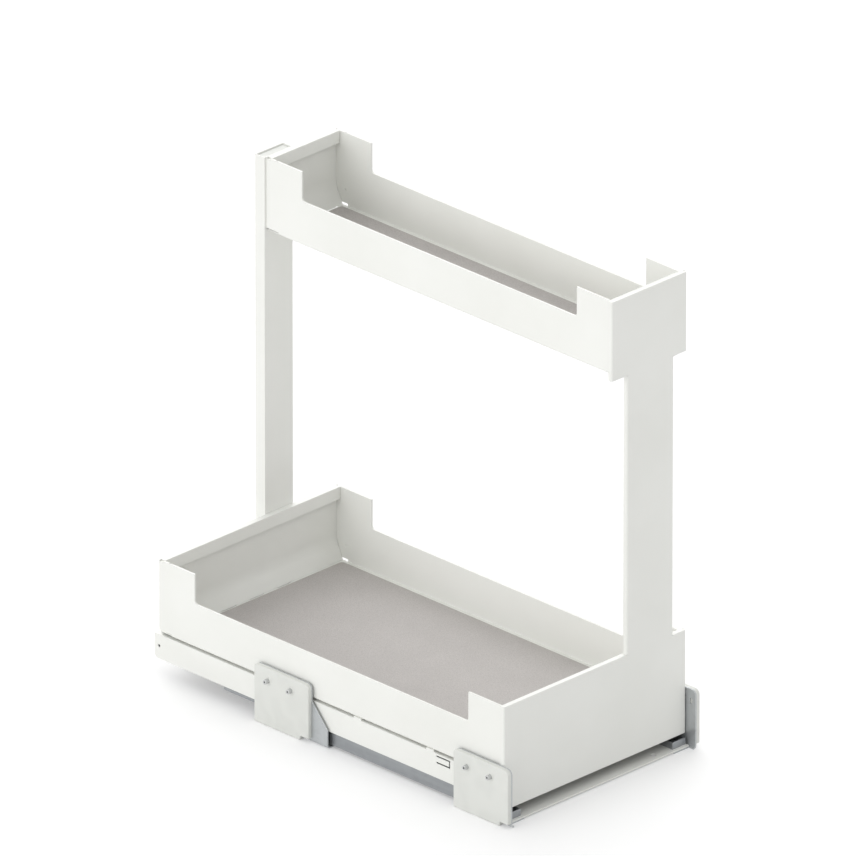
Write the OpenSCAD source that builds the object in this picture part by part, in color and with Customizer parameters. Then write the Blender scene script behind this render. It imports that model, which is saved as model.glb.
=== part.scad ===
// Under-sink pull-out: a sheet steel frame with a low and a high tray that sits on a pair of
// ball-bearing runners. The runners stand between the two sides of a base cabinet on four
// angle brackets, each with a spacer plate and two locating pins.
// X runs across the cabinet, -Y is the front, +Z is up. Millimetres.

/* [Cabinet and runners] */
// Clear width between the cabinet sides
cabinet_w = 268; // [267:1:360]
// Distance between the centrelines of the two runners
runner_pitch = 229.5; // [225:0.5:230]
// Width of a runner
runner_w = 18; // [17:0.5:19]
// Height of a runner, from the tie plate to the top of the drawer profile
runner_h = 40; // [38:0.5:48]
// Height of the drawer profile's side walls
drawer_profile_h = 15; // [13:0.5:17]
// Length of the drawer profile
drawer_profile_l = 482; // [440:1:560]
// Length of the cabinet profile behind the front panel
cabinet_profile_l = 385; // [360:1:460]
// Length of the middle profile
middle_profile_l = 356; // [330:1:360]
// Sheet thickness of the runner profiles
profile_t = 1.5; // [1.2:0.1:1.6]
// Full travel of the pull-out
pull_travel = 450; // [350:5:460]
// Diameter of the runner balls
ball_d = 2.4; // [2:0.1:2.5]
// Balls in each row of a carriage
ball_count = 6; // [4:1:8]

/* [Brackets and tie plates] */
// Width of a bracket along the runner
bracket_w = 76; // [70:1:84]
// Height of the bracket's upright
bracket_h = 63; // [60:0.5:70]
// Sheet thickness of a bracket
bracket_t = 1.5; // [1.2:0.1:1.6]
// Thickness of the plastic spacer plate
spacer_t = 4.8; // [4:0.1:5]
// Centre of the front brackets behind the face of the front panel
front_bracket_y = 25.5; // [24:0.5:30]
// Distance from the front brackets to the rear brackets
bracket_pitch = 277.5; // [240:0.5:300]
// Thickness of the tie plates
tie_t = 1.5; // [1:0.1:2]
// Width of the tie plates
tie_w = 63; // [50:1:68]
// Diameter of the locating pins
pin_d = 5; // [4:0.5:6]
// Diameter of the pins' shank inside the bracket and the spacer plate
pin_shank_d = 6; // [6:0.1:8]
// How far a locating pin stands out of its spacer plate
pin_out = 5; // [4:0.5:10]
// Distance between the two pins of a bracket
pin_pitch = 32; // [32:1:36]
// Diameter of the screw holes in the tie plates
floor_hole_d = 4.5; // [4:0.5:5.5]
// Distance between the two screw holes of a tie plate
floor_hole_pitch = 45; // [40:1:46]

/* [Frame] */
// Height of the frame from the bottom to the top of the front panel
frame_h = 500; // [430:1:620]
// Width of the front panel
panel_w = 254; // [250:0.5:254.5]
// Thickness of the front panel
panel_t = 5; // [4:0.5:6]
// Height of the lower part of the front panel
lower_panel_h = 112; // [108:1:130]
// Height of the upper part of the front panel
upper_panel_h = 85.5; // [84:0.5:100]
// Width of the upper part of the front panel
upper_panel_w = 105; // [96:1:125]
// Width of the front post
front_post_w = 65.5; // [50:0.5:75]
// Distance from the right edge of the panel to the front post
front_post_inset = 18; // [10:1:20]
// Outer depth of the trays behind the front panel
tray_depth = 477.5; // [430:0.5:560]
// Outer width of the lower tray
lower_tray_w = 248.5; // [240:0.5:250]
// Outer width of the upper tray
upper_tray_w = 98.5; // [92:0.5:100]
// Height of a tray wall at the corners
wall_h = 79.5; // [72:0.5:90]
// Depth of the low stretch of a side wall
dip = 32; // [24:1:38]
// Length of the high stretch at the front of a side wall
front_land = 46; // [36:1:60]
// Length of the high stretch at the rear of a side wall
rear_land = 50; // [40:1:64]
// Thickness of the hemmed tray walls
wall_t = 2.2; // [1.6:0.1:2.6]
// Thickness of a tray floor
floor_t = 1; // [0.8:0.1:1.4]
// Thickness of the mats
mat_t = 1; // [0.8:0.1:2]
// Gap between a mat and the tray walls
mat_gap = 5.5; // [3:0.5:10]
// Width of the rear post
rear_post_w = 39; // [30:1:50]
// Depth of the rear post
rear_post_d = 13.3; // [10:0.1:18]
// Radius of the front panel's upright edges
panel_edge_r = 2.5; // [1:0.1:3]
// Thickness of other frame sheet
sheet_t = 1.2; // [1:0.1:1.4]

/* [Base] */
// Height of the base rail's skirt
skirt_h = 26.5; // [24:0.5:28]
// Height of the skirt's lower edge above the bottom of the frame
skirt_z = 3.5; // [2:0.5:5]
// Depth of the base cross members
cross_h = 12; // [8:0.5:16]
// Width of the base cross members
cross_w = 44; // [36:1:60]
// Gap between the base rails and the floor of the lower tray
tray_lift = 2.2; // [1.8:0.1:3]

/* [Clearances] */
// Gap between sliding profiles
slide_gap = 0.5; // [0.4:0.1:0.8]
// Gap on each side of a ball
ball_gap = 0.3; // [0.2:0.05:0.4]
// Gap between the base rail's skirt and the runner
nest_gap = 0.8; // [0.5:0.1:1]
// Gap between the front panel and what stands behind it
panel_gap = 0.5; // [0.3:0.1:1]
// Gap round the catch hooks in the base rails
hook_gap = 0.8; // [0.5:0.1:1.2]

/* [Hidden] */
$fn = 48;
// A cut reaches this far past the faces it goes through
past = 1;

// Order of the stack from the cabinet floor up
runner_z = bracket_t + tie_t;
runner_top = runner_z + runner_h;
rail_top = runner_top + sheet_t;
frame_z = rail_top - skirt_h - skirt_z;
frame_top = frame_z + frame_h;
lower_floor_z = rail_top + tray_lift;
upper_floor_z = frame_top - wall_h;

// Across the cabinet
bracket_out = cabinet_w / 2 - spacer_t;
bracket_in = bracket_out - bracket_t;
panel_r = panel_w / 2;
tray_inset = 1.5;
rear_post_out = 2.2;
lower_tray_l = tray_inset - panel_r;
tray_r = lower_tray_l + lower_tray_w;
upper_tray_l = tray_r - upper_tray_w;
upper_panel_l = panel_r - upper_panel_w;
front_post_r = panel_r - front_post_inset;
rear_post_l = upper_tray_l - rear_post_out;
rail_out = runner_pitch / 2 + runner_w / 2 + nest_gap + sheet_t;
rail_in = runner_pitch / 2 - runner_w / 2 - nest_gap - sheet_t;

// Front to back
tray_y = panel_t;
tray_rear = tray_y + tray_depth;
post_rear = tray_rear + rear_post_d;
stop_t = 1.5;
stop_y = panel_t + panel_gap;
drawer_y = stop_y + stop_t;
drawer_rear = stop_y + drawer_profile_l;
cabinet_back = 1.5;
cabinet_y = drawer_y + cabinet_back;
cabinet_rear = cabinet_y + cabinet_profile_l;
middle_back = 3.5;
middle_y = cabinet_y + middle_back;
middle_rear = middle_y + middle_profile_l;
rail_back = 3;
rail_y = panel_t + rail_back;
rail_over = 1.5;
rail_rear = max(drawer_rear + rail_over, tray_rear);
rear_bracket_y = front_bracket_y + bracket_pitch;
bracket_front = front_bracket_y - bracket_w / 2;
middle_of_depth = (post_rear + min(0, bracket_front)) / 2;

// Section of a runner, measured from its foot
cabinet_profile_h = runner_h - drawer_profile_h - slide_gap;
leg_h = 10;
// Room between the heads of the middle profile and the webs they run along
head_top_gap = 3;
lip_x = 3.2;
foot_lip_x = 2.5;
head_x = runner_w / 2 - profile_t - ball_d - 2 * ball_gap;
stem_x = 2;
upper_head_low = runner_h - drawer_profile_h + profile_t + slide_gap;
upper_head_top = runner_h - profile_t - head_top_gap;
lower_head_top = cabinet_profile_h - profile_t - slide_gap;
lower_head_low = leg_h + profile_t + head_top_gap;
upper_row_z = (upper_head_low + upper_head_top) / 2;
lower_row_z = (lower_head_low + lower_head_top) / 2;
row_x = head_x + ball_gap + ball_d / 2;
front_foot_h = 7.5;
front_foot_l = 11;
fold_r = 1.8;
// The front stop reaches down to just above the tongue of the cabinet profile
stop_low = front_foot_h + 0.5;
tail_l = 22;
tail_h = 20.5;
bead_h = 2;
bead_deep = 0.6;
bead_z = 18;
bead_back = 14;
// Slots in the cabinet profile's legs: from and to behind its front end, and their height
leg_slots = [[10, 39], [54, 64]];
leg_slot_z = [1.5, 2.7];

// Tabs of a tray's rear wall, let into the tops of the side walls
tab_y = 1.3;
tab_l = 4.4;
tab_drop = 1.4;
tab_gap = 0.3;
tab_front = tray_rear - tab_y - tab_l;

// Carriages
cage_t = 1.2;
cage_margin = 7.25;
cage_l = middle_rear - cabinet_y - pull_travel / 2 - 2 * cage_margin;
cage_h = 5;
pocket_d = ball_d + 0.4;
pocket_inset = 10;
ball_step = (cage_l - 2 * pocket_inset) / (ball_count - 1);
bridge_up = upper_head_top + 1.5 - upper_row_z;
bridge_down = lower_row_z - lower_head_low + 1.5;
upper_cage_y = (middle_y + drawer_rear - cage_l) / 2;
lower_cage_y = (cabinet_y + middle_rear - cage_l) / 2;

// Catch hook at the rear of a drawer profile
hook_w = 9;
hook_l = 14;
hook_h = 3;
hook_lip = 1.2;
hook_back = 2.5;
hook_foot = 0.4;
hook_y = drawer_rear - hook_l - 3;

// Cross members end beside the slots for the catch hooks
cross_x = runner_pitch / 2 - hook_w / 2 - hook_gap - 0.4;
front_cross_y = 34;
rear_cross_y = tray_rear - cross_w;
cross_gap = 1;

// Base rail: inner skirt, rounded rear corner, and the lugs that carry the tray
inner_skirt_h = 9;
rail_corner_r = 5;
lug_w = 6;
lug_l = 10;
lug_places = [99, 200];
// The freed tongue in the skirt, the notch in its lower edge and the hole at its rear
tongue_y = 76;
tongue_l = 19;
tongue_low = 19.4;
tongue_h = 8.6;
tongue_cut = 1.6;
skirt_notch_y = 41;
skirt_notch_l = 11;
skirt_notch_h = 4.5;
skirt_hole_d = 3;
skirt_hole_in = 6.5;
skirt_hole_z = 17.5;

// Bracket details
bracket_r = 6;
bracket_rear_r = 3.5;
bend_r = 4;
spacer_notch_y = 3;
spacer_notch_l = 9;
spacer_notch_h = 3;
wing_l = 22;
wing_top = 45;
wing_low = 20;
pin_z = 50;
pin_offset = 2.5;
pin_fit = 0.05;
pin_chamfer = 0.5;
slot_w = 3.6;
slot_l = 7;
// Slots in a bracket's upright: place from its middle and tilt
bracket_slots = [[27.2, 25], [9.6, 25], [1.4, 0], [-21.6, 25], [-31.5, 10]];
ledge_in = runner_pitch / 2 - runner_w / 2 - 1;
rivet_d = 4;
rivet_head_d = 7;
rivet_head_h = 1.5;
rivet_y = 20;
floor_hole_x = 84.5;
floor_sink_d = 7;
floor_sink_h = 0.8;

// Screws
screw_d = 4;
screw_l = 3;
screw_head_d = 8;
screw_head_h = 1.6;
screw_up = 20;
boss_d = 9;
screw_hole_d = screw_d + 0.2;
panel_screw_inset = 26.75;
upper_screw_inset = 18;
post_screw_up = [45, 60];
post_access_d = 9;

// Folds and reliefs of the trays
tray_bend = 2.5;
dip_r = 4;
relief_d = 1.6;
relief_in = 0.2;
fold_relief_d = 1.8;
fold_relief_y = 6.5;
fold_relief_z = 0.6;
top_relief_in = 14.5;
corner_notch_l = 17.4;
corner_notch_h = 3;
dimple_d = 2.4;
dimple_deep = 1;
dimple_y = 14.8;
dimple_z = 17.7;

// Rear wall of a tray: rolled top, sloping foot, and the tabs that drop into the floor
wall_fit = 0.3;
lip_deep = 6.7;
lip_h = 13.5;
slope_h = 20;
slope_deep = 9.5;
slope_t = 1.5;
slope_r = 30;
slope_tilt = atan(slope_deep / slope_h);
slope_reach = slope_r * tan(slope_tilt / 2);
foot_y = tray_rear - sheet_t - slope_deep;
end_relief_z = 13.4;
foot_tab_w = 16;
foot_slot_w = 20;
foot_slot_room = 1.2;
foot_tab_gap = 0.3;
lower_tabs = [-38, 0, 38];
upper_tabs = [-30, 30];

// Mats
mat_rear_gap = 14.5;
mat_r = 4;

// Cap of the rear post
cap_fit = 0.2;
cap_deep = 8;
cap_down = 1.5;

// Coupling under the front of the lower tray
coupling_w = 16;
coupling_l = 22;
coupling_y = panel_t + 5;
coupling_h = 16;
coupling_x = rail_in - coupling_w / 2 - 0.5;
coupling_wall = 3;
coupling_web = 11;
coupling_top = 4;
lever_t = 5;
lever_w = 6;
lever_l = 22;
lever_eye_d = 10;
lever_pin_l = 8;
nose_l = 6;
lever_z = lower_floor_z - coupling_h - lever_t - 0.3;
lever_pin_d = 3;
lever_pin_y = coupling_y + 6;
lever_reach = runner_pitch / 2 - runner_w / 2 - 0.35;

// The origin lies under the middle of the whole, on the cabinet floor
module at_origin() {
    translate([0, -middle_of_depth, 0]) children();
}

// The right-hand piece is the left-hand one mirrored, or the other way round
module on_side(side) {
    mirror([side < 0 ? 1 : 0, 0, 0]) children();
}

// Runner pieces are drawn about the runner's own centre plane, from its foot up
module on_runner(side) {
    translate([side * runner_pitch / 2, 0, runner_z]) children();
}

// A box from one corner to the opposite one
module block(low, high) {
    translate(low) cube(high - low);
}

// An outline in width and height, pushed back from y
module section(y, length) {
    translate([0, y + length, 0]) rotate([90, 0, 0]) linear_extrude(length) children();
}

// An outline in depth and height, pushed across from x
module side_outline(x, width) {
    translate([x, 0, 0]) rotate([90, 0, 90]) linear_extrude(width) children();
}

// A flat rectangle from one corner to the opposite one
module area(low, high) {
    translate(low) square(high - low);
}

// A rectangle whose four corners are rounded
module soft_area(low, high, r) {
    area([low[0] + r, low[1]], [high[0] - r, high[1]]);
    area([low[0], low[1] + r], [high[0], high[1] - r]);
    for (x = [low[0] + r, high[0] - r], y = [low[1] + r, high[1] - r])
        translate([x, y]) circle(r);
}

// A slot with round ends through a bracket or a rail, tilted from the upright
module round_slot(y, z, w, l, tilt, x, thick) {
    translate([x - past, y, z]) rotate([tilt, 0, 0]) {
        for (end = [-1, 1])
            translate([0, 0, end * (l - w) / 2]) rotate([0, 90, 0]) cylinder(d = w, h = thick + 2 * past);
        translate([0, -w / 2, -(l - w) / 2]) cube([thick + 2 * past, w, l - w]);
    }
}

// Runner

module cabinet_section() {
    for (s = [-1, 1]) {
        area([s > 0 ? runner_w / 2 - profile_t : -runner_w / 2, 0],
             [s > 0 ? runner_w / 2 : profile_t - runner_w / 2, cabinet_profile_h]);
        area([s > 0 ? lip_x : -runner_w / 2, cabinet_profile_h - profile_t],
             [s > 0 ? runner_w / 2 : -lip_x, cabinet_profile_h]);
        area([s > 0 ? foot_lip_x : -runner_w / 2, 0], [s > 0 ? runner_w / 2 : -foot_lip_x, profile_t]);
    }
    area([-runner_w / 2, leg_h], [runner_w / 2, leg_h + profile_t]);
}

module cabinet_profile(side) {
    wide = runner_w / 2 + past;
    rear_leg = rear_bracket_y + bracket_w / 2;
    tongue_front = cabinet_y - front_foot_l;
    color("#9aa0a6") at_origin() on_runner(side) difference() {
        union() {
            section(cabinet_y, cabinet_profile_l) cabinet_section();
            section(tongue_front, front_foot_l) intersection() {
                cabinet_section();
                area([-runner_w, 0], [runner_w, front_foot_h]);
            }
            block([-runner_w / 2, tongue_front, 0], [runner_w / 2, tongue_front + profile_t, front_foot_h]);
        }
        block([-wide, rear_leg, -past], [wide, cabinet_rear + past, leg_h]);
        block([-wide, cabinet_rear - tail_l, tail_h], [wide, cabinet_rear + past, runner_h]);
        for (s = [-1, 1])
            block([s * runner_w / 2 - bead_deep, cabinet_y + bead_back, bead_z - bead_h / 2],
                  [s * runner_w / 2 + bead_deep, rear_leg, bead_z + bead_h / 2]);
        for (slot = leg_slots)
            block([-wide, cabinet_y + slot[0], leg_slot_z[0]], [wide, cabinet_y + slot[1], leg_slot_z[1]]);
    }
}

module middle_profile(side) {
    color("#8d9399") at_origin() on_runner(side) section(middle_y, middle_profile_l) {
        area([-head_x, upper_head_low], [head_x, upper_head_top]);
        area([-stem_x, lower_head_top - past], [stem_x, upper_head_low + past]);
        area([-head_x, lower_head_low], [head_x, lower_head_top]);
    }
}

module drawer_profile(side) {
    low = runner_h - drawer_profile_h;
    wide = runner_w / 2;
    inner = wide - profile_t;
    color("#c3c7ca") at_origin() on_runner(side) section(drawer_y, drawer_rear - drawer_y) difference() {
        union() {
            area([-wide, low], [wide, runner_h - fold_r]);
            soft_area([-wide, low + fold_r], [wide, runner_h], fold_r);
        }
        area([-inner, low + profile_t], [inner, runner_h - profile_t]);
        area([-lip_x, low - past], [lip_x, low + 2 * profile_t]);
    }
}

// End plate of the drawer profile, with its window, its slanted bar and its side tabs
module front_stop(side) {
    low = stop_low;
    wide = runner_w / 2;
    tab = 1;
    tab_low = 5;
    tab_high = 16;
    slot_x = [-2.6, 3.2];
    slot_z = 8;
    slot_size = [2.4, stop_t + 2 * past, 10];
    slot_tilt = 22;
    color("#898e93") at_origin() on_runner(side) difference() {
        union() {
            block([-wide, stop_y, low], [wide, drawer_y, runner_h - fold_r]);
            block([fold_r - wide, stop_y, low], [wide - fold_r, drawer_y, runner_h]);
            for (x = [fold_r - wide, wide - fold_r])
                translate([x, drawer_y, runner_h - fold_r]) rotate([90, 0, 0])
                    cylinder(r = fold_r, h = stop_t);
            block([-wide - tab, stop_y, low + tab_low], [wide + tab, drawer_y, low + tab_high]);
        }
        for (x = slot_x)
            translate([x, stop_y - past, low + slot_z]) rotate([0, slot_tilt, 0])
                translate([-slot_size[0] / 2, 0, -slot_size[2] / 2]) cube(slot_size);
    }
}

module catch_hook(side) {
    color("#7f858a") at_origin() on_runner(side) difference() {
        block([-hook_w / 2, hook_y, runner_h], [hook_w / 2, hook_y + hook_l, runner_h + hook_h]);
        block([-hook_w, hook_y - past, runner_h + hook_foot],
              [hook_w, hook_y + hook_l - hook_back, runner_h + hook_h - hook_lip]);
    }
}

// Balls of one carriage: a row on each side of the head of the middle profile
module ball_rows(side, y, z) {
    color("#d7dadd") at_origin() on_runner(side)
        for (x = [-row_x, row_x], n = [0 : ball_count - 1])
            translate([x, y + pocket_inset + n * ball_step, z]) sphere(d = ball_d);
}

// Plastic carriage: a channel round the head, with a pocket for each ball
module carriage(side, y, z, bridge) {
    strip = row_x + cage_t / 2;
    bridge_z = z + bridge;
    low = min(z - cage_h / 2, bridge_z - cage_t / 2);
    high = max(z + cage_h / 2, bridge_z + cage_t / 2);
    inner_low = bridge_z < z ? bridge_z + cage_t / 2 : low - past;
    inner_high = bridge_z < z ? high + past : bridge_z - cage_t / 2;
    color("#e8e8e4") at_origin() on_runner(side) difference() {
        block([-strip, y, low], [strip, y + cage_l, high]);
        block([cage_t - strip, y - past, inner_low], [strip - cage_t, y + cage_l + past, inner_high]);
        for (n = [0 : ball_count - 1])
            translate([-strip - past, y + pocket_inset + n * ball_step, z]) rotate([0, 90, 0])
                cylinder(d = pocket_d, h = 2 * (strip + past));
    }
}

// Brackets between the runners and the cabinet sides

// Side view of a bracket's upright, with the wing that braces the rear ones
module bracket_outline(centre, wing) {
    front = centre - bracket_w / 2;
    rear = centre + bracket_w / 2;
    difference() {
        area([front, 0], [rear, bracket_h]);
        difference() {
            area([front - past, bracket_h - bracket_r], [front + bracket_r, bracket_h + past]);
            translate([front + bracket_r, bracket_h - bracket_r]) circle(bracket_r);
        }
        difference() {
            area([rear - bracket_rear_r, bracket_h - bracket_rear_r], [rear + past, bracket_h + past]);
            translate([rear - bracket_rear_r, bracket_h - bracket_rear_r]) circle(bracket_rear_r);
        }
    }
    if (wing)
        polygon([[front, 0], [front + 1, 0], [front + 1, wing_top], [front, wing_top],
                 [front - wing_l, wing_low], [front - wing_l, 0]]);
}

// Front view of a bracket: an upright that bends into the foot under the runner
module bracket_section() {
    area([bracket_in, bend_r], [bracket_out, bracket_h]);
    area([ledge_in, 0], [bracket_out - bend_r, bracket_t]);
    intersection() {
        translate([bracket_out - bend_r, bend_r]) difference() {
            circle(bend_r);
            circle(bend_r - bracket_t);
        }
        area([bracket_out - bend_r, 0], [bracket_out, bend_r]);
    }
}

module bracket(side, centre, wing) {
    front = centre - bracket_w / 2 - (wing ? wing_l : 0);
    rear = centre + bracket_w / 2;
    pin_y = centre + pin_offset;
    color("#9da2a5") at_origin() on_side(side) difference() {
        intersection() {
            section(front, rear - front) bracket_section();
            side_outline(ledge_in - past, bracket_out - ledge_in + 2 * past) bracket_outline(centre, wing);
        }
        for (y = [pin_y - pin_pitch / 2, pin_y + pin_pitch / 2])
            translate([bracket_in - past, y, pin_z]) rotate([0, 90, 0])
                cylinder(d = pin_shank_d + 2 * pin_fit, h = bracket_t + 2 * past);
        for (hole = bracket_slots)
            round_slot(centre + hole[0], pin_z, slot_w, slot_l, hole[1], bracket_in, bracket_t);
        for (y = [centre - rivet_y, centre + rivet_y])
            translate([runner_pitch / 2, y, -past])
                cylinder(d = rivet_d + 2 * pin_fit, h = bracket_t + 2 * past);
        // The foot is as deep as the tie plate that lies on it
        block([ledge_in - past, centre + tie_w / 2, -past],
              [bracket_out - bend_r, rear + past, bracket_t + past]);
        if (!wing)
            block([ledge_in - past, front - past, -past],
                  [bracket_out - bend_r, centre - tie_w / 2, bracket_t + past]);
    }
}

// White plate that fills the space between a bracket and the cabinet side
module spacer(side, centre) {
    front = centre - bracket_w / 2;
    pin_y = centre + pin_offset;
    notch = front + spacer_notch_y;
    color("#f2f2ee") at_origin() on_side(side) difference() {
        side_outline(bracket_out, spacer_t) difference() {
            bracket_outline(centre, false);
            area([notch, -past], [notch + spacer_notch_l, spacer_notch_h]);
        }
        for (y = [pin_y - pin_pitch / 2, pin_y + pin_pitch / 2])
            translate([bracket_out - past, y, pin_z]) rotate([0, 90, 0])
                cylinder(d = pin_shank_d + 2 * pin_fit, h = spacer_t + 2 * past);
    }
}

// Pins with a thick shank in the bracket and its spacer plate, and a free end for the cabinet side
module locating_pins() {
    shank = bracket_t + spacer_t;
    color("#8f9396") at_origin()
        for (s = [-1, 1], centre = [front_bracket_y, rear_bracket_y], end = [-1, 1])
            on_side(s) translate([bracket_in, centre + pin_offset + end * pin_pitch / 2, pin_z])
                rotate([0, 90, 0]) {
                    cylinder(d = pin_shank_d, h = shank);
                    translate([0, 0, shank]) cylinder(d = pin_d, h = pin_out - pin_chamfer);
                    translate([0, 0, shank + pin_out - pin_chamfer])
                        cylinder(d1 = pin_d, d2 = pin_d - 2 * pin_chamfer, h = pin_chamfer);
                }
}

// Flat plate that ties the left bracket to the right one under the runners
module tie_plate(centre) {
    half = bracket_out - bend_r;
    color("#f0f0ec") at_origin() difference() {
        block([-half, centre - tie_w / 2, bracket_t], [half, centre + tie_w / 2, runner_z]);
        for (y = [centre - floor_hole_pitch / 2, centre + floor_hole_pitch / 2])
            translate([floor_hole_x, y, 0]) {
                cylinder(d = floor_hole_d, h = runner_z + past);
                translate([0, 0, runner_z - floor_sink_h])
                    cylinder(d1 = floor_hole_d, d2 = floor_sink_d, h = floor_sink_h);
                translate([0, 0, runner_z]) cylinder(d = floor_sink_d, h = past);
            }
        for (s = [-1, 1], y = [centre - rivet_y, centre + rivet_y])
            translate([s * runner_pitch / 2, y, 0])
                cylinder(d = rivet_d + 2 * pin_fit, h = runner_z + past);
    }
}

module tie_rivets() {
    seat = runner_z + profile_t;
    color("#a8acb0") at_origin()
        for (s = [-1, 1], centre = [front_bracket_y, rear_bracket_y], y = [-rivet_y, rivet_y])
            translate([s * runner_pitch / 2, centre + y, 0]) {
                cylinder(d = rivet_d, h = seat);
                translate([0, 0, seat]) cylinder(d = rivet_head_d, h = rivet_head_h);
            }
}

// Base of the frame

// Channel that drops over a runner: a deep skirt outside, a short one inside
module base_rail(side) {
    skirt_low = frame_z + skirt_z;
    web_low = rail_top - sheet_t;
    corner_r = rail_corner_r;
    skirt_in = rail_out - sheet_t - past;
    skirt_out = rail_out + past;
    color("#f4f4f0") at_origin() on_side(side) difference() {
        union() {
            side_outline(rail_out - sheet_t, sheet_t) union() {
                area([rail_y, skirt_low], [rail_rear - corner_r, rail_top]);
                area([rail_y, skirt_low + corner_r], [rail_rear, rail_top]);
                translate([rail_rear - corner_r, skirt_low + corner_r]) circle(corner_r);
            }
            block([rail_in, rail_y, web_low], [rail_out, rail_rear, rail_top]);
            block([rail_in, rail_y, rail_top - inner_skirt_h], [rail_in + sheet_t, rail_rear, rail_top]);
            for (y = lug_places)
                block([rail_out - lug_w, y, rail_top], [rail_out, y + lug_l, lower_floor_z]);
        }
        // Slot for the catch hook
        translate([runner_pitch / 2, 0, 0])
            block([-hook_w / 2 - hook_gap, hook_y - hook_gap, web_low - past],
                  [hook_w / 2 + hook_gap, hook_y + hook_l + hook_gap, rail_top + past]);
        // Cut that frees a tongue in the skirt, the notch below it and the hole at the rear
        difference() {
            block([skirt_in, tongue_y, frame_z + tongue_low],
                  [skirt_out, tongue_y + tongue_l, frame_z + tongue_low + tongue_h]);
            block([skirt_in - past, tongue_y + tongue_cut, frame_z + tongue_low + tongue_cut],
                  [skirt_out + past, tongue_y + tongue_l + past, frame_z + tongue_low + tongue_h - tongue_cut]);
        }
        block([skirt_in, skirt_notch_y, skirt_low - past],
              [skirt_out, skirt_notch_y + skirt_notch_l, skirt_low + skirt_notch_h]);
        translate([skirt_in, rail_rear - skirt_hole_in, frame_z + skirt_hole_z]) rotate([0, 90, 0])
            cylinder(d = skirt_hole_d, h = sheet_t + 2 * past);
    }
}

// Cross member: a web under the tray, with a flange along each edge that stands on the rails
module base_cross(y) {
    flange_x = rail_in - cross_gap;
    color("#e9e9e5") at_origin() {
        block([-cross_x, y, lower_floor_z - sheet_t], [cross_x, y + cross_w, lower_floor_z]);
        for (edge = [y, y + cross_w - sheet_t]) {
            block([-cross_x, edge, rail_top], [cross_x, edge + sheet_t, lower_floor_z]);
            block([-flange_x, edge, rail_top - cross_h], [flange_x, edge + sheet_t, lower_floor_z]);
        }
    }
}

// Plastic block under the tray that carries the release lever
module coupling(side) {
    coupling_low = lower_floor_z - coupling_h;
    color("#6f7478") at_origin() on_side(side) difference() {
        block([coupling_x - coupling_w / 2, coupling_y, coupling_low],
              [coupling_x + coupling_w / 2, coupling_y + coupling_l, lower_floor_z]);
        block([coupling_x - coupling_w / 2 + coupling_wall, coupling_y + coupling_web, coupling_low - past],
              [coupling_x + coupling_w / 2 - coupling_wall, coupling_y + coupling_l - coupling_wall,
               lower_floor_z - coupling_top]);
        translate([coupling_x, lever_pin_y, coupling_low - past])
            cylinder(d = lever_pin_d + 2 * pin_fit, h = lever_pin_l + 1 + past);
    }
}

// Lever that swings away from the runner to let the frame go
module release_lever(side) {
    color("#8d9194") at_origin() on_side(side) {
        translate([coupling_x, lever_pin_y, lever_z]) cylinder(d = lever_eye_d, h = lever_t);
        translate([coupling_x, lever_pin_y, lever_z]) cylinder(d = lever_pin_d, h = lever_t + lever_pin_l);
        block([coupling_x - lever_w / 2, lever_pin_y, lever_z],
              [coupling_x + lever_w / 2, lever_pin_y + lever_l, lever_z + lever_t]);
        block([coupling_x, lever_pin_y + lever_l - nose_l, lever_z],
              [lever_reach, lever_pin_y + lever_l, lever_z + lever_t]);
    }
}

// Front panel, rear post and trays

// Places of the screws that hold the trays to the panel and to the rear post
function panel_screw_places() = [
    for (n = [0 : 3])
        [lower_tray_l + panel_screw_inset + n * (lower_tray_w - 2 * panel_screw_inset) / 3,
         lower_floor_z + screw_up],
    for (x = [upper_tray_l + upper_screw_inset, tray_r - upper_screw_inset]) [x, upper_floor_z + screw_up]
];
function post_screw_places() = [
    for (floor_z = [lower_floor_z, upper_floor_z], up = post_screw_up)
        [rear_post_l + rear_post_w / 2, floor_z + up]
];

// A round hole along the depth at each of the places
module holes_at(places, d, y, length) {
    for (place = places)
        translate([place[0], y, place[1]]) rotate([-90, 0, 0]) cylinder(d = d, h = length);
}

module panel_part(left, right, low, high) {
    r = panel_edge_r;
    translate([0, 0, low]) linear_extrude(high - low) {
        area([left + r, 0], [right - r, panel_t]);
        area([left, r], [right, panel_t]);
        for (x = [left + r, right - r])
            translate([x, r]) circle(r);
    }
}

module front_panel() {
    post_l = front_post_r - front_post_w;
    upper_low = frame_top - upper_panel_h;
    lower_top = frame_z + lower_panel_h;
    skin = sheet_t;
    relief_x = panel_r - skin - relief_in;
    color("#e6e6e3") at_origin() difference() {
        union() {
            difference() {
                union() {
                    panel_part(-panel_r, panel_r, frame_z, lower_top);
                    panel_part(upper_panel_l, panel_r, upper_low, frame_top);
                    panel_part(post_l, front_post_r, lower_top - skin, upper_low + skin);
                }
                block([skin - panel_r, skin, frame_z + skin],
                      [panel_r - skin, panel_t + past, lower_top - skin]);
                block([upper_panel_l + skin, skin, upper_low + skin],
                      [panel_r - skin, panel_t + past, frame_top - skin]);
                block([post_l + skin, skin, lower_top - 2 * skin],
                      [front_post_r - skin, panel_t + past, upper_low + 2 * skin]);
            }
            holes_at(panel_screw_places(), boss_d, skin / 2, panel_t - skin / 2);
        }
        holes_at(panel_screw_places(), screw_hole_d, skin, panel_t);
        // Corner reliefs of the folded top edges
        for (top = [lower_top, frame_top])
            translate([relief_x, panel_t - relief_d, top - skin - past])
                cylinder(d = relief_d, h = skin + 2 * past);
    }
}

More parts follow.
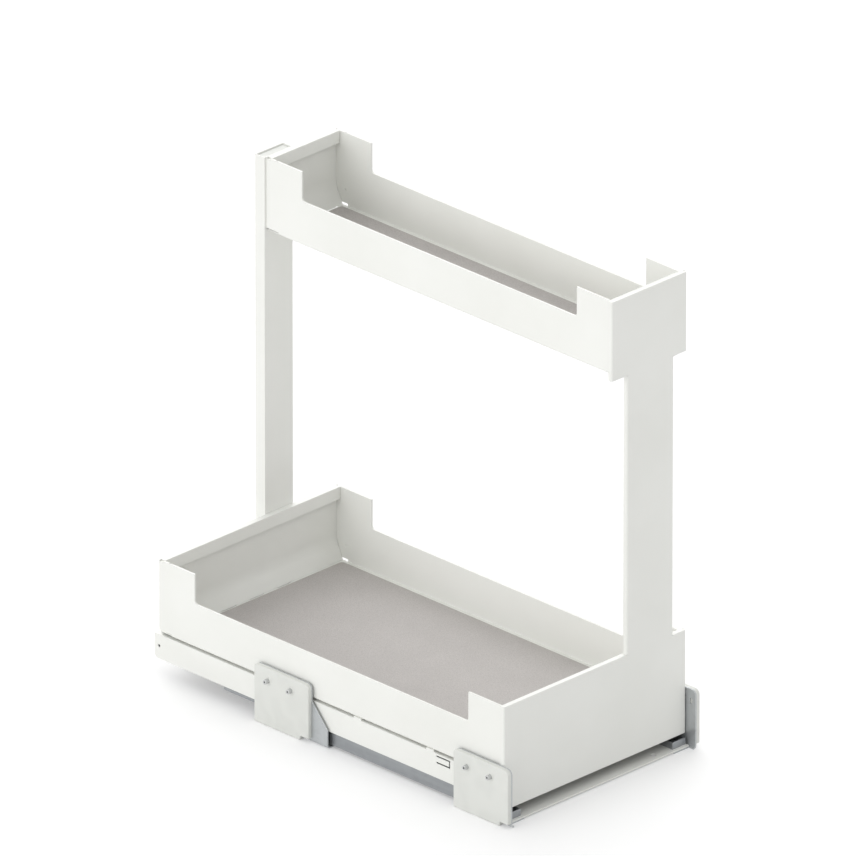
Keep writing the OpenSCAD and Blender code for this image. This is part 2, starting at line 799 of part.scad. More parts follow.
module rear_post() {
    low = rail_top - cross_h;
    color("#e2e2df") at_origin() difference() {
        translate([0, 0, low]) linear_extrude(frame_top - low) difference() {
            area([rear_post_l, tray_rear], [rear_post_l + rear_post_w, post_rear]);
            area([rear_post_l + sheet_t, tray_rear + sheet_t],
                 [rear_post_l + rear_post_w - sheet_t, post_rear - sheet_t]);
        }
        holes_at(post_screw_places(), screw_hole_d, tray_rear - past, sheet_t + 2 * past);
        // Holes at the back of the post that let a screwdriver in
        holes_at(post_screw_places(), post_access_d, post_rear - sheet_t - past, sheet_t + 2 * past);
    }
}

module post_cap() {
    fit = sheet_t + cap_fit;
    color("#fafaf8") at_origin()
        block([rear_post_l + fit, tray_rear + fit, frame_top - cap_deep],
              [rear_post_l + rear_post_w - fit, post_rear - fit, frame_top - cap_down]);
}

// Side view of a tray wall: high at both ends and low between
module wall_outline(low) {
    r = dip_r;
    dip_front = tray_y + front_land;
    dip_rear = tray_rear - rear_land;
    dip_low = low + wall_h - dip;
    difference() {
        area([tray_y, low], [tray_rear, low + wall_h]);
        area([dip_front + r, dip_low], [dip_rear - r, low + wall_h + past]);
        area([dip_front, dip_low + r], [dip_rear, low + wall_h + past]);
        for (y = [dip_front + r, dip_rear - r])
            translate([y, dip_low + r]) circle(r);
    }
}

// Folded tray: floor, two hemmed side walls and a front wall behind the panel
module tray(left, right, low, tabs) {
    bend = tray_bend;
    middle = (left + right) / 2;
    slot_low = low + wall_h - tab_drop - sheet_t;
    color("#f5f5f1") at_origin() difference() {
        union() {
            intersection() {
                section(tray_y, tray_depth) difference() {
                    union() {
                        area([left + bend, low], [right - bend, low + wall_h]);
                        area([left, low + bend], [right, low + wall_h]);
                        for (x = [left + bend, right - bend])
                            translate([x, low + bend]) circle(bend);
                    }
                    area([left + wall_t, low + floor_t], [right - wall_t, low + wall_h + past]);
                }
                side_outline(left - past, right - left + 2 * past) wall_outline(low);
            }
            block([left + wall_t, tray_y, low], [right - wall_t, tray_y + sheet_t, low + wall_h]);
        }
        holes_at(panel_screw_places(), screw_hole_d, tray_y - past, sheet_t + 2 * past);
        for (x = [left - past, right - wall_t]) {
            // Slot for a tab of the rear wall, and the relief in front of it
            block([x, tab_front - tab_gap, slot_low],
                  [x + wall_t + past, tray_rear - tab_y + tab_gap, low + wall_h + past]);
            translate([x, tray_rear - top_relief_in, low + wall_h]) rotate([0, 90, 0])
                cylinder(d = relief_d, h = wall_t + past);
            // Relief where the wall folds up from the floor, and the open corner at the rear
            translate([x, tray_y + fold_relief_y, low + fold_relief_z]) rotate([0, 90, 0])
                cylinder(d = fold_relief_d, h = wall_t + past);
            block([x, tray_rear - corner_notch_l, low - past],
                  [x + wall_t + past, tray_rear + past, low + corner_notch_h]);
        }
        // Dimples in the inner faces of the side walls
        for (x = [left + wall_t - dimple_deep, right - wall_t - past])
            translate([x, tray_rear - dimple_y, low + dimple_z]) rotate([0, 90, 0])
                cylinder(d = dimple_d, h = dimple_deep + past);
        // Slots for the tabs of the rear wall's foot
        for (x = tabs)
            block([middle + x - foot_slot_w / 2, foot_y - foot_slot_room, low - past],
                  [middle + x + foot_slot_w / 2, foot_y + slope_t + foot_tab_gap, low + floor_t + past]);
    }
}

// Rear wall of a tray: rolled top, upright web and a sloping foot with tabs
module rear_wall(left, right, low, tabs) {
    top = low + wall_h;
    inner_l = left + wall_t + wall_fit;
    inner_r = right - wall_t - wall_fit;
    middle = (left + right) / 2;
    web = tray_rear - sheet_t;
    lip = tray_rear - lip_deep;
    foot = low + floor_t;
    slope_top = foot + slope_h;
    relief_y = foot_y + slope_deep * end_relief_z / slope_h;
    color("#f1f1ed") at_origin() difference() {
        union() {
            side_outline(inner_l, inner_r - inner_l) {
                area([web, slope_top], [tray_rear, top]);
                area([lip, top - sheet_t], [tray_rear, top]);
                area([lip, top - lip_h], [lip + sheet_t, top]);
                polygon([[tray_rear, slope_top], [web, slope_top], [foot_y, foot], [foot_y + slope_t, foot]]);
                // Rounded fold between the web and the foot
                difference() {
                    polygon([[web + slope_t / 2, slope_top + slope_reach], [web, slope_top + slope_reach],
                             [web - slope_reach * sin(slope_tilt), slope_top - slope_reach * cos(slope_tilt)],
                             [web + slope_t / 2, slope_top]]);
                    translate([web - slope_r, slope_top + slope_reach]) circle(slope_r);
                }
            }
            block([left, tab_front, top - tab_drop - sheet_t], [right, tray_rear - tab_y, top - tab_drop]);
            for (x = tabs)
                block([middle + x - foot_tab_w / 2, foot_y, low + foot_tab_gap],
                      [middle + x + foot_tab_w / 2, foot_y + slope_t, foot]);
        }
        // Small reliefs in the ends of the sloping foot
        for (x = [inner_l, inner_r])
            translate([x - relief_d / 2, relief_y, foot + end_relief_z]) rotate([0, 90, 0])
                cylinder(d = relief_d, h = relief_d);
        holes_at(post_screw_places(), screw_hole_d, web - past, sheet_t + 2 * past);
    }
}

module mat(left, right, low) {
    inset = wall_t + mat_gap;
    color("#b6b2af") at_origin() translate([0, 0, low + floor_t]) linear_extrude(mat_t)
        soft_area([left + inset, tray_y + sheet_t + mat_gap],
                  [right - inset, tray_rear - mat_rear_gap], mat_r);
}

// Screws with a flat head, driven forward or back along the depth
module screw(place, y, towards) {
    translate([place[0], y, place[1]]) rotate([towards > 0 ? -90 : 90, 0, 0]) {
        cylinder(d = screw_d, h = screw_l);
        translate([0, 0, -screw_head_h]) cylinder(d = screw_head_d, h = screw_head_h);
    }
}

module panel_screws() {
    color("#b9bdc0") at_origin()
        for (place = panel_screw_places())
            screw(place, tray_y + sheet_t, -1);
}

module post_screws() {
    color("#b9bdc0") at_origin()
        for (place = post_screw_places())
            screw(place, tray_rear + sheet_t, -1);
}

cabinet_profile(-1);  // cabinet_profile_l
cabinet_profile(1);  // cabinet_profile_r
middle_profile(-1);  // middle_profile_l
middle_profile(1);  // middle_profile_r
drawer_profile(-1);  // drawer_profile_l
drawer_profile(1);  // drawer_profile_r
front_stop(-1);  // front_stop_l
front_stop(1);  // front_stop_r
catch_hook(-1);  // catch_hook_l
catch_hook(1);  // catch_hook_r
carriage(-1, upper_cage_y, upper_row_z, bridge_up);  // upper_carriage_l
carriage(1, upper_cage_y, upper_row_z, bridge_up);  // upper_carriage_r
carriage(-1, lower_cage_y, lower_row_z, -bridge_down);  // lower_carriage_l
carriage(1, lower_cage_y, lower_row_z, -bridge_down);  // lower_carriage_r
ball_rows(-1, upper_cage_y, upper_row_z);  // upper_balls_l
ball_rows(1, upper_cage_y, upper_row_z);  // upper_balls_r
ball_rows(-1, lower_cage_y, lower_row_z);  // lower_balls_l
ball_rows(1, lower_cage_y, lower_row_z);  // lower_balls_r
bracket(-1, front_bracket_y, false);  // bracket_front_l
bracket(1, front_bracket_y, false);  // bracket_front_r
bracket(-1, rear_bracket_y, true);  // bracket_rear_l
bracket(1, rear_bracket_y, true);  // bracket_rear_r
spacer(-1, front_bracket_y);  // spacer_front_l
spacer(1, front_bracket_y);  // spacer_front_r
spacer(-1, rear_bracket_y);  // spacer_rear_l
spacer(1, rear_bracket_y);  // spacer_rear_r
locating_pins();
tie_plate(front_bracket_y);  // tie_plate_front
tie_plate(rear_bracket_y);  // tie_plate_rear
tie_rivets();
base_rail(-1);  // base_rail_l
base_rail(1);  // base_rail_r
base_cross(front_cross_y);  // base_cross_front
base_cross(rear_cross_y);  // base_cross_rear
coupling(-1);  // coupling_l
coupling(1);  // coupling_r
release_lever(-1);  // release_lever_l
release_lever(1);  // release_lever_r
front_panel();
rear_post();
post_cap();
tray(lower_tray_l, tray_r, lower_floor_z, lower_tabs);  // lower_tray
tray(upper_tray_l, tray_r, upper_floor_z, upper_tabs);  // upper_tray
rear_wall(lower_tray_l, tray_r, lower_floor_z, lower_tabs);  // lower_rear_wall
rear_wall(upper_tray_l, tray_r, upper_floor_z, upper_tabs);  // upper_rear_wall
mat(lower_tray_l, tray_r, lower_floor_z);  // lower_mat
mat(upper_tray_l, tray_r, upper_floor_z);  // upper_mat
panel_screws();
post_screws();
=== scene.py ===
"""Looks of the under-sink pull-out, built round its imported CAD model.

Every sheet, runner and bracket keeps its CAD shape and gets its finish here. The spacer plates,
locating pins, mats and screws are made anew in mesh, and the release levers get grip ribs.
"""

import math

import bmesh
import bpy
from bpy.props import FloatProperty, FloatVectorProperty, IntProperty, PointerProperty
from mathutils import Matrix, Vector


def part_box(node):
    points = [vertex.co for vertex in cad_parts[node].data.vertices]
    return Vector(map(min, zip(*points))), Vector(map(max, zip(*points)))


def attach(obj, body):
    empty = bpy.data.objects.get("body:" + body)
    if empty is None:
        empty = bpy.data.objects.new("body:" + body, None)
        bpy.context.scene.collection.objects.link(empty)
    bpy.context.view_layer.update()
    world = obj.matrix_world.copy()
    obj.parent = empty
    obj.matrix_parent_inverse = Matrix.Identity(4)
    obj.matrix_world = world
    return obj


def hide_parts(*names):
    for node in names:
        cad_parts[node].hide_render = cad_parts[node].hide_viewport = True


bl_info = {
    "name": "Under-sink pull-out finish",
    "version": (1, 0, 0),
    "blender": (4, 5, 0),
    "location": "View3D > Sidebar > Pull-out",
    "description": "Finishes, spacer plates, pins, mats, screws and stage for the under-sink pull-out",
    "category": "Object",
}

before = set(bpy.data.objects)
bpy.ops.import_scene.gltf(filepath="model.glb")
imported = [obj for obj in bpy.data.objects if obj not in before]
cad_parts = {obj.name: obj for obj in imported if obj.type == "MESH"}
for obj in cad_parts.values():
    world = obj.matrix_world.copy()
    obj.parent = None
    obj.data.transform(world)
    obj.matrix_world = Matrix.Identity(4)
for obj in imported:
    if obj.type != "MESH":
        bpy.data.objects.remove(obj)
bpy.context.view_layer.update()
MM = 0.001

COATED_SHEETS = (
    "front_panel", "rear_post", "lower_tray", "upper_tray", "lower_rear_wall", "upper_rear_wall",
    "base_rail_l", "base_rail_r", "base_cross_front", "base_cross_rear", "tie_plate_front", "tie_plate_rear",
)
SPACERS = ("spacer_front_l", "spacer_front_r", "spacer_rear_l", "spacer_rear_r")
BRACKETS = ("bracket_front_l", "bracket_front_r", "bracket_rear_l", "bracket_rear_r")
DULL_PROFILES = ("cabinet_profile_l", "cabinet_profile_r", "middle_profile_l", "middle_profile_r")
BRIGHT_PROFILES = ("drawer_profile_l", "drawer_profile_r", "catch_hook_l", "catch_hook_r")
END_PLATES = ("front_stop_l", "front_stop_r")
BALLS = ("upper_balls_l", "upper_balls_r", "lower_balls_l", "lower_balls_r")
CARRIAGES = ("upper_carriage_l", "upper_carriage_r", "lower_carriage_l", "lower_carriage_r")
COUPLINGS = ("coupling_l", "coupling_r")
LEVERS = ("release_lever_l", "release_lever_r")

# Edge rounding of a CAD node: points closer than this are one, faces flatter than this are merged,
# and edges sharper than this are rounded.
WELD_DISTANCE = 0.002 * MM
FLAT_ANGLE = math.radians(0.6)
SHARP_ANGLE = math.radians(32.0)
CAP_EDGE = 0.4 * MM
COUPLING_EDGE = 0.3 * MM
LEVER_EDGE = 0.35 * MM

# Steps round a quarter circle, a turned pin and a screw.
ARC_STEPS = 8
PIN_STEPS = 32
SCREW_STEPS = 36

# Metallic share, roughness, and streaks in a metre across, along and up of each steel finish.
ROLLED = (420.0, 9.0, 420.0)
STEEL = {
    "dull_zinc_profile": (0.8, 0.42, ROLLED),
    "bright_zinc_profile": (0.8, 0.38, ROLLED),
    "dark_end_plate": (0.6, 0.5, (300.0, 300.0, 20.0)),
    "pressed_bracket": (0.5, 0.44, (60.0, 60.0, 8.0)),
    "upset_rivet": (0.7, 0.34, (200.0, 200.0, 200.0)),
    "turned_pin": (0.5, 0.36, (30.0, 500.0, 500.0)),
    "polished_ball": (1.0, 0.14, (90.0, 90.0, 90.0)),
    "zinc_plated_screw": (0.85, 0.3, (200.0, 200.0, 200.0)),
}
# Roughness of each moulded plastic.
PLASTIC = {"white_moulded_plate": 0.5, "carriage_plastic": 0.46, "dark_coupling": 0.55, "lever_plastic": 0.5}

# Hollow ends of a pin, its rounding, and how far its thinner free end starts inside the plate.
BORE_DEPTH = 3.0 * MM
BORE_CHAMFER = 0.25 * MM
PIN_ROUNDING = 0.5 * MM
PIN_SUNK = 0.6 * MM

# Inner edge and small corners of a spacer plate, and the ring round each pin.
PLATE_CHAMFER = 0.3 * MM
PLATE_CORNER = 1.4 * MM
LEAST_CORNER = 0.05 * MM
COLLAR_PLAY = 0.05 * MM
COLLAR_ROUNDING = 0.2 * MM

# Grip ribs of a lever: place of the row, and half width, near side, far side and height of each ring.
RIB_INSET = 5.0 * MM
RIB_START = 13.0 * MM
RIB_PITCH = 2.6 * MM
RIB_RINGS = (
    (2.4 * MM, 0.0, 1.3 * MM, 0.3 * MM),
    (2.2 * MM, 0.1 * MM, 1.2 * MM, -0.4 * MM),
    (1.8 * MM, 0.4 * MM, 0.9 * MM, -0.7 * MM),
)

# Lower edge and least corner of a mat, and its shallow border: width so far and depth below the top.
MAT_CHAMFER = 0.25 * MM
MAT_LEAST_CORNER = 0.3 * MM
MAT_BORDER = ((1.2 * MM, 0.02 * MM), (2.2 * MM, 0.18 * MM), (3.2 * MM, 0.16 * MM))

# A screw's head, its thread, and its two kinds of tip: radius and place of each ring.
HEAD_HEIGHT = 1.6 * MM
HEAD_RIM = 0.75 * MM
HEAD_CROWN = 0.85 * MM
HEAD_ROUNDING = 0.9 * MM
HEAD_CHAMFER = 0.25 * MM
NECK = 0.02 * MM
CREST = 1.95 * MM
ROOT = 1.6 * MM
CREST_RISE = 0.12 * MM
ROOT_RISE = 0.42 * MM
THREAD_START = 0.7 * MM
THREAD_PITCH = 0.55 * MM
THREAD_TURNS = 4
SHARP_TIP = ((0.3 * MM, 0.0), (ROOT, 0.5 * MM), (ROOT, 0.6 * MM))
FLUSH_TIP = ((0.3 * MM, 0.0), (2.3 * MM, 0.0), (2.36 * MM, 0.04 * MM))
RECESS_TAPER = 0.45
RECESS_OVERLAP = 0.2 * MM

DUST_COLOUR = (0.62, 0.60, 0.56, 1.0)
WHITE = (1.0, 1.0, 1.0, 1.0)

# Floor, lamps and camera. A lamp's row holds where its light comes from and how wide it is in degrees.
FLOOR_REACH = 14.0
FLOOR_DROP = 0.05 * MM
FLOOR_LIFT = 0.22
LAMPS = {
    "top_lamp": ((0.12, 0.25, 1.0), 70.0),
    "side_lamp": ((-1.0, 0.12, 0.32), 50.0),
    "back_lamp": ((0.6, 0.6, 0.5), 60.0),
}
PICTURE_WIDTH = 856
SENSOR_WIDTH = 36.0
CLIP_START = 1.0
CLIP_END = 80.0


class CoatSettings(bpy.types.PropertyGroup):
    """The white powder coat of the folded sheets."""

    colour: FloatVectorProperty(
        name="Colour", description="Colour of the powder coat", subtype="COLOR", size=4, min=0, max=1,
        default=(0.855, 0.86, 0.825, 1.0))
    edge_colour: FloatVectorProperty(
        name="Edge colour", description="Colour where the coat is thin on an edge", subtype="COLOR", size=4,
        min=0, max=1, default=(0.79, 0.79, 0.765, 1.0))
    peel_scale: FloatProperty(
        name="Peel scale", description="Ripples of the coat in a metre", default=900.0, min=100.0)
    roughness: FloatProperty(
        name="Roughness", description="Roughness of the coat", subtype="FACTOR", default=0.42,
        min=0.0, max=1.0)
    edge_radius: FloatProperty(
        name="Edge radius", description="Rounding that the coat leaves on a cut edge", unit="LENGTH",
        default=0.3 * MM, min=0.0)


class SteelSettings(bpy.types.PropertyGroup):
    """The galvanised steel of the runners and brackets, and the balls."""

    profile_colour: FloatVectorProperty(
        name="Profile colour", description="Colour of the cabinet profiles and middle profiles",
        subtype="COLOR", size=4, min=0, max=1, default=(0.34, 0.355, 0.37, 1.0))
    bright_colour: FloatVectorProperty(
        name="Bright colour", description="Colour of the drawer profiles and catch hooks",
        subtype="COLOR", size=4, min=0, max=1, default=(0.30, 0.315, 0.325, 1.0))
    bracket_colour: FloatVectorProperty(
        name="Bracket colour", description="Colour of the brackets and rivets", subtype="COLOR", size=4,
        min=0, max=1, default=(0.50, 0.52, 0.53, 1.0))
    ball_colour: FloatVectorProperty(
        name="Ball colour", description="Colour of the balls", subtype="COLOR", size=4, min=0, max=1,
        default=(0.62, 0.63, 0.64, 1.0))
    plate_colour: FloatVectorProperty(
        name="End plate colour", description="Colour of the drawer profiles' end plates", subtype="COLOR",
        size=4, min=0, max=1, default=(0.27, 0.285, 0.30, 1.0))
    spangle_scale: FloatProperty(
        name="Spangle scale", description="Zinc crystals in a metre", default=170.0, min=10.0)
    edge_radius: FloatProperty(
        name="Edge radius", description="Rounding of the sheared edges", unit="LENGTH",
        default=0.15 * MM, min=0.0)


class MouldedSettings(bpy.types.PropertyGroup):
    """The moulded plastic plates, carriages, couplings and levers."""

    plate_colour: FloatVectorProperty(
        name="Plate colour", description="Colour of the spacer plates and the cap", subtype="COLOR", size=4,
        min=0, max=1, default=(0.72, 0.73, 0.695, 1.0))
    carriage_colour: FloatVectorProperty(
        name="Carriage colour", description="Colour of the ball carriages", subtype="COLOR", size=4,
        min=0, max=1, default=(0.70, 0.69, 0.63, 1.0))
    coupling_colour: FloatVectorProperty(
        name="Coupling colour", description="Colour of the couplings", subtype="COLOR", size=4,
        min=0, max=1, default=(0.13, 0.14, 0.145, 1.0))
    lever_colour: FloatVectorProperty(
        name="Lever colour", description="Colour of the release levers", subtype="COLOR", size=4,
        min=0, max=1, default=(0.29, 0.31, 0.32, 1.0))
    grain_scale: FloatProperty(
        name="Grain scale", description="Grains of the mould's face in a metre", default=1500.0, min=100.0)
    rib_count: IntProperty(
        name="Grip ribs", description="Ribs under each release lever", default=4, min=1, max=8)


class SpacerSettings(bpy.types.PropertyGroup):
    """The moulded spacer plates and the hollow pins in them."""

    edge_radius: FloatProperty(
        name="Edge radius", description="Rounding of a plate's outer edge", unit="LENGTH",
        default=1.3 * MM, min=0.0)
    step_length: FloatProperty(
        name="Step length", description="Length of the raised front end of a plate's lower edge",
        unit="LENGTH", default=12.0 * MM, min=0.0)
    step_height: FloatProperty(
        name="Step height", description="Rise of that front end", unit="LENGTH", default=4.6 * MM, min=0.0)
    front_radius: FloatProperty(
        name="Front corner", description="Radius of the upper front corner", unit="LENGTH",
        default=6.0 * MM, min=0.0)
    rear_radius: FloatProperty(
        name="Rear corner", description="Radius of the upper rear corner", unit="LENGTH",
        default=3.5 * MM, min=0.0)
    collar_width: FloatProperty(
        name="Collar width", description="Width of the moulded ring round a pin", unit="LENGTH",
        default=1.5 * MM, min=0.0)
    collar_height: FloatProperty(
        name="Collar height", description="Height of that ring", unit="LENGTH", default=0.5 * MM, min=0.0)
    pin_colour: FloatVectorProperty(
        name="Pin colour", description="Colour of the pins", subtype="COLOR", size=4, min=0, max=1,
        default=(0.56, 0.57, 0.565, 1.0))
    pin_diameter: FloatProperty(
        name="Pin diameter", description="Diameter of a pin's free end", unit="LENGTH",
        default=5.0 * MM, min=0.0)
    pin_bore: FloatProperty(
        name="Pin bore", description="Diameter of the bore in each end of a pin", unit="LENGTH",
        default=2.4 * MM, min=0.0)


class MatSettings(bpy.types.PropertyGroup):
    """The anti-slip mats in the trays."""

    colour: FloatVectorProperty(
        name="Colour", description="Colour of the mats", subtype="COLOR", size=4, min=0, max=1,
        default=(0.525, 0.50, 0.485, 1.0))
    fleck_colour: FloatVectorProperty(
        name="Fleck colour", description="Colour of the darker grains", subtype="COLOR", size=4,
        min=0, max=1, default=(0.415, 0.395, 0.38, 1.0))
    grain_scale: FloatProperty(
        name="Grain scale", description="Grains of the mat in a metre", default=1000.0, min=50.0)
    corner_radius: FloatProperty(
        name="Corner radius", description="Radius of a mat's corners", unit="LENGTH", default=4 * MM,
        min=0.0)
    edge_radius: FloatProperty(
        name="Edge radius", description="Rounding of a mat's upper edge", unit="LENGTH",
        default=0.45 * MM, min=0.0)


class ScrewSettings(bpy.types.PropertyGroup):
    """The screws that hold the trays to the panel and to the rear post."""

    colour: FloatVectorProperty(
        name="Colour", description="Colour of the zinc plating", subtype="COLOR", size=4, min=0, max=1,
        default=(0.60, 0.61, 0.62, 1.0))
    recess_width: FloatProperty(
        name="Recess width", description="Width of one arm of the cross recess", unit="LENGTH",
        default=1.1 * MM, min=0.0)
    recess_span: FloatProperty(
        name="Recess span", description="Span of the cross recess", unit="LENGTH", default=4.4 * MM, min=0.0)
    recess_depth: FloatProperty(
        name="Recess depth", description="Depth of the cross recess", unit="LENGTH", default=1.1 * MM,
        min=0.0)
    flush_cut: FloatProperty(
        name="Flush cut", description="Length left off the post screws, to end flush in the trays",
        unit="LENGTH", default=0.57 * MM, min=0.0)


class StageSettings(bpy.types.PropertyGroup):
    """Floor, lamps and camera."""

    azimuth: FloatProperty(
        name="Azimuth", description="Where the camera stands round the object", subtype="ANGLE",
        default=math.radians(-45.0))
    elevation: FloatProperty(
        name="Elevation", description="How high the camera stands", subtype="ANGLE",
        default=math.radians(25.0))
    lens: FloatProperty(
        name="Lens", description="Focal length in millimetres", default=1600.0, min=50.0)
    pixels_per_mm: FloatProperty(
        name="Pixels in a millimetre", description="Scale of the picture at the object", default=1.0168,
        min=0.1)
    target: FloatVectorProperty(
        name="Target", description="Point in the middle of the picture", subtype="TRANSLATION", size=3,
        default=(4.7 * MM, -4.7 * MM, 307.0 * MM))
    sky: FloatProperty(
        name="Sky", description="Strength of the plain light all round", default=0.74, min=0.0)
    top_lamp: FloatProperty(
        name="Top lamp", description="Strength of the soft light from above", default=0.35, min=0.0)
    side_lamp: FloatProperty(
        name="Side lamp", description="Strength of the soft light from the left", default=0.95, min=0.0)
    back_lamp: FloatProperty(
        name="Back lamp", description="Strength of the soft light from behind", default=1.2, min=0.0)
    floor_colour: FloatVectorProperty(
        name="Floor colour", description="Colour of the floor", subtype="COLOR", size=4, min=0, max=1,
        default=(0.80, 0.80, 0.80, 1.0))


def place(tree, kind, inputs=(), **attributes):
    """Adds a node, sets its attributes, and links its inputs or sets their values."""
    node = tree.nodes.new(kind)
    for key, value in attributes.items():
        setattr(node, key, value)
    for key, value in dict(inputs).items():
        if isinstance(value, bpy.types.NodeSocket):
            tree.links.new(value, node.inputs[key])
        else:
            node.inputs[key].default_value = value
    return node


def wire(tree, inputs, sockets):
    """Links each socket to the input of its name."""
    for label, socket in sockets.items():
        tree.links.new(socket, inputs[label])


def new_group(name, inputs, outputs):
    """Makes a shader node group with named sockets, and returns its tree and those sockets inside it."""
    tree = bpy.data.node_groups.new(name, "ShaderNodeTree")
    for label, kind, value in inputs:
        socket = tree.interface.new_socket(label, in_out="INPUT", socket_type="NodeSocket" + kind)
        socket.default_value = value
    for label, kind in outputs:
        tree.interface.new_socket(label, in_out="OUTPUT", socket_type="NodeSocket" + kind)
    return tree, tree.nodes.new("NodeGroupInput").outputs, tree.nodes.new("NodeGroupOutput").inputs


def new_surface_group(name, inputs):
    """Makes a node group that puts out a surface's colour, roughness and height."""
    outputs = [("Color", "Color"), ("Roughness", "Float"), ("Height", "Float")]
    return new_group(name, inputs + [("Edge", "Float", 0.0)], outputs)


def put_out_surface(tree, given, out, face, edge, change, height):
    """Puts out the face's colour with its edges, the given roughness with its change, and the height."""
    colour = blend_colours(tree, given["Edge"], face, edge)
    roughness = calculate(tree, "ADD", given["Roughness"], change)
    wire(tree, out, {"Color": colour, "Roughness": roughness, "Height": height})


def calculate(tree, operation, first, second):
    """Result socket of one calculation with two values."""
    return place(tree, "ShaderNodeMath", {0: first, 1: second}, operation=operation).outputs[0]


def blend_colours(tree, factor, low, high):
    """Mixes two colours by a factor socket and returns the result socket."""
    return place(tree, "ShaderNodeMix", {0: factor, 6: low, 7: high}, data_type="RGBA").outputs[2]


def toned(tree, colour, saturation=1.0, value=1.0):
    """A colour with its saturation and brightness multiplied."""
    inputs = {"Color": colour, "Saturation": saturation, "Value": value}
    return place(tree, "ShaderNodeHueSaturation", inputs).outputs["Color"]


def spread(tree, value, low, high, new_low=0.0, new_high=1.0):
    """Maps a value from one range to another and returns the result socket."""
    inputs = {"Value": value, "From Min": low, "From Max": high, "To Min": new_low, "To Max": new_high}
    return place(tree, "ShaderNodeMapRange", inputs, clamp=True).outputs["Result"]


def own_point(tree):
    """The point of the surface in the object's own coordinates."""
    return place(tree, "ShaderNodeTexCoord").outputs["Object"]


def noise(tree, point, scale, detail=3.0, roughness=0.5):
    """Soft noise over the surface."""
    inputs = {"Vector": point, "Scale": scale, "Detail": detail, "Roughness": roughness}
    return place(tree, "ShaderNodeTexNoise", inputs).outputs["Fac"]


def edge_line_group():
    """A mask that is 1 on an edge and 0 on the faces beside it."""
    tree, given, out = new_group(
        "edge_line", [("Width", "Float", 0.8 * MM), ("Unevenness", "Float", 0.4)], [("Mask", "Float")])
    rounded = place(tree, "ShaderNodeBevel", {"Radius": given["Width"]}, samples=4).outputs["Normal"]
    plain = place(tree, "ShaderNodeNewGeometry").outputs["Normal"]
    dot = place(tree, "ShaderNodeVectorMath", {0: rounded, 1: plain}, operation="DOT_PRODUCT")
    leaning = spread(tree, dot.outputs["Value"], 0.995, 0.86)
    patchy = spread(tree, noise(tree, own_point(tree), 140.0), 0.35, 0.65)
    kept = calculate(tree, "SUBTRACT", 1.0, calculate(tree, "MULTIPLY", given["Unevenness"], patchy))
    wire(tree, out, {"Mask": calculate(tree, "MULTIPLY", leaning, kept)})


def powder_coat_group():
    """Orange-peel skin of a powder coat: colour, roughness and height."""
    tree, given, out = new_surface_group("powder_coat", [
        ("Colour", "Color", (0.86, 0.86, 0.83, 1)), ("Edge Colour", "Color", (0.8, 0.8, 0.77, 1)),
        ("Peel Scale", "Float", 900.0), ("Roughness", "Float", 0.42)])
    point = own_point(tree)
    peel = noise(tree, point, given["Peel Scale"], 2.0, 0.4)
    cloud = noise(tree, point, 11.0)
    speck = place(tree, "ShaderNodeTexVoronoi", {"Vector": point, "Scale": 260.0}).outputs["Distance"]
    colour = given["Colour"]
    clouded = blend_colours(tree, spread(tree, cloud, 0.35, 0.7), colour, toned(tree, colour, 1.15, 0.965))
    specked = blend_colours(
        tree, spread(tree, speck, 0.07, 0.03, 0.0, 0.35), clouded, toned(tree, clouded, value=0.94))
    change = spread(tree, cloud, 0.3, 0.7, -0.05, 0.05)
    put_out_surface(tree, given, out, specked, given["Edge Colour"], change, peel)


def rolled_zinc_group():
    """Galvanised sheet: zinc crystals, and streaks along the way it was rolled."""
    tree, given, out = new_surface_group("rolled_zinc", [
        ("Colour", "Color", (0.4, 0.42, 0.44, 1)), ("Spangle Scale", "Float", 170.0),
        ("Streaks", "Vector", ROLLED), ("Roughness", "Float", 0.42)])
    point = own_point(tree)
    drawn = place(tree, "ShaderNodeVectorMath", {0: point, 1: given["Streaks"]}, operation="MULTIPLY")
    streak = noise(tree, drawn.outputs[0], 1.0, 3.0, 0.6)
    crystal = place(tree, "ShaderNodeTexVoronoi", {"Vector": point, "Scale": given["Spangle Scale"]})
    grey = place(tree, "ShaderNodeSeparateColor", {"Color": crystal.outputs["Color"]}).outputs["Red"]
    colour = given["Colour"]
    flaked = blend_colours(
        tree, spread(tree, grey, 0.0, 1.0, 0.0, 0.5), colour, toned(tree, colour, value=0.86))
    streaked = blend_colours(
        tree, spread(tree, streak, 0.42, 0.75, 0.0, 0.8), flaked, toned(tree, colour, 0.8, 1.12))
    change = spread(tree, streak, 0.3, 0.7, -0.07, 0.09)
    put_out_surface(tree, given, out, streaked, toned(tree, colour, 0.7, 1.45), change, streak)


def moulded_grain_group():
    """Fine spark-eroded grain of a moulded part, with faint flow marks."""
    tree, given, out = new_surface_group("moulded_grain", [
        ("Colour", "Color", (0.8, 0.8, 0.78, 1)), ("Grain Scale", "Float", 1500.0),
        ("Roughness", "Float", 0.5)])
    point = own_point(tree)
    grain = noise(tree, point, given["Grain Scale"], 2.0, 0.7)
    flow = place(tree, "ShaderNodeTexWave", {
        "Vector": point, "Scale": 9.0, "Distortion": 14.0, "Detail": 2.0, "Detail Scale": 2.0})
    colour = given["Colour"]
    marks = spread(tree, flow.outputs["Fac"], 0.0, 1.0, 0.0, 0.7)
    flowing = blend_colours(tree, marks, colour, toned(tree, colour, value=0.95))
    change = spread(tree, grain, 0.3, 0.7, -0.05, 0.07)
    put_out_surface(tree, given, out, flowing, toned(tree, colour, 0.9, 1.08), change, grain)


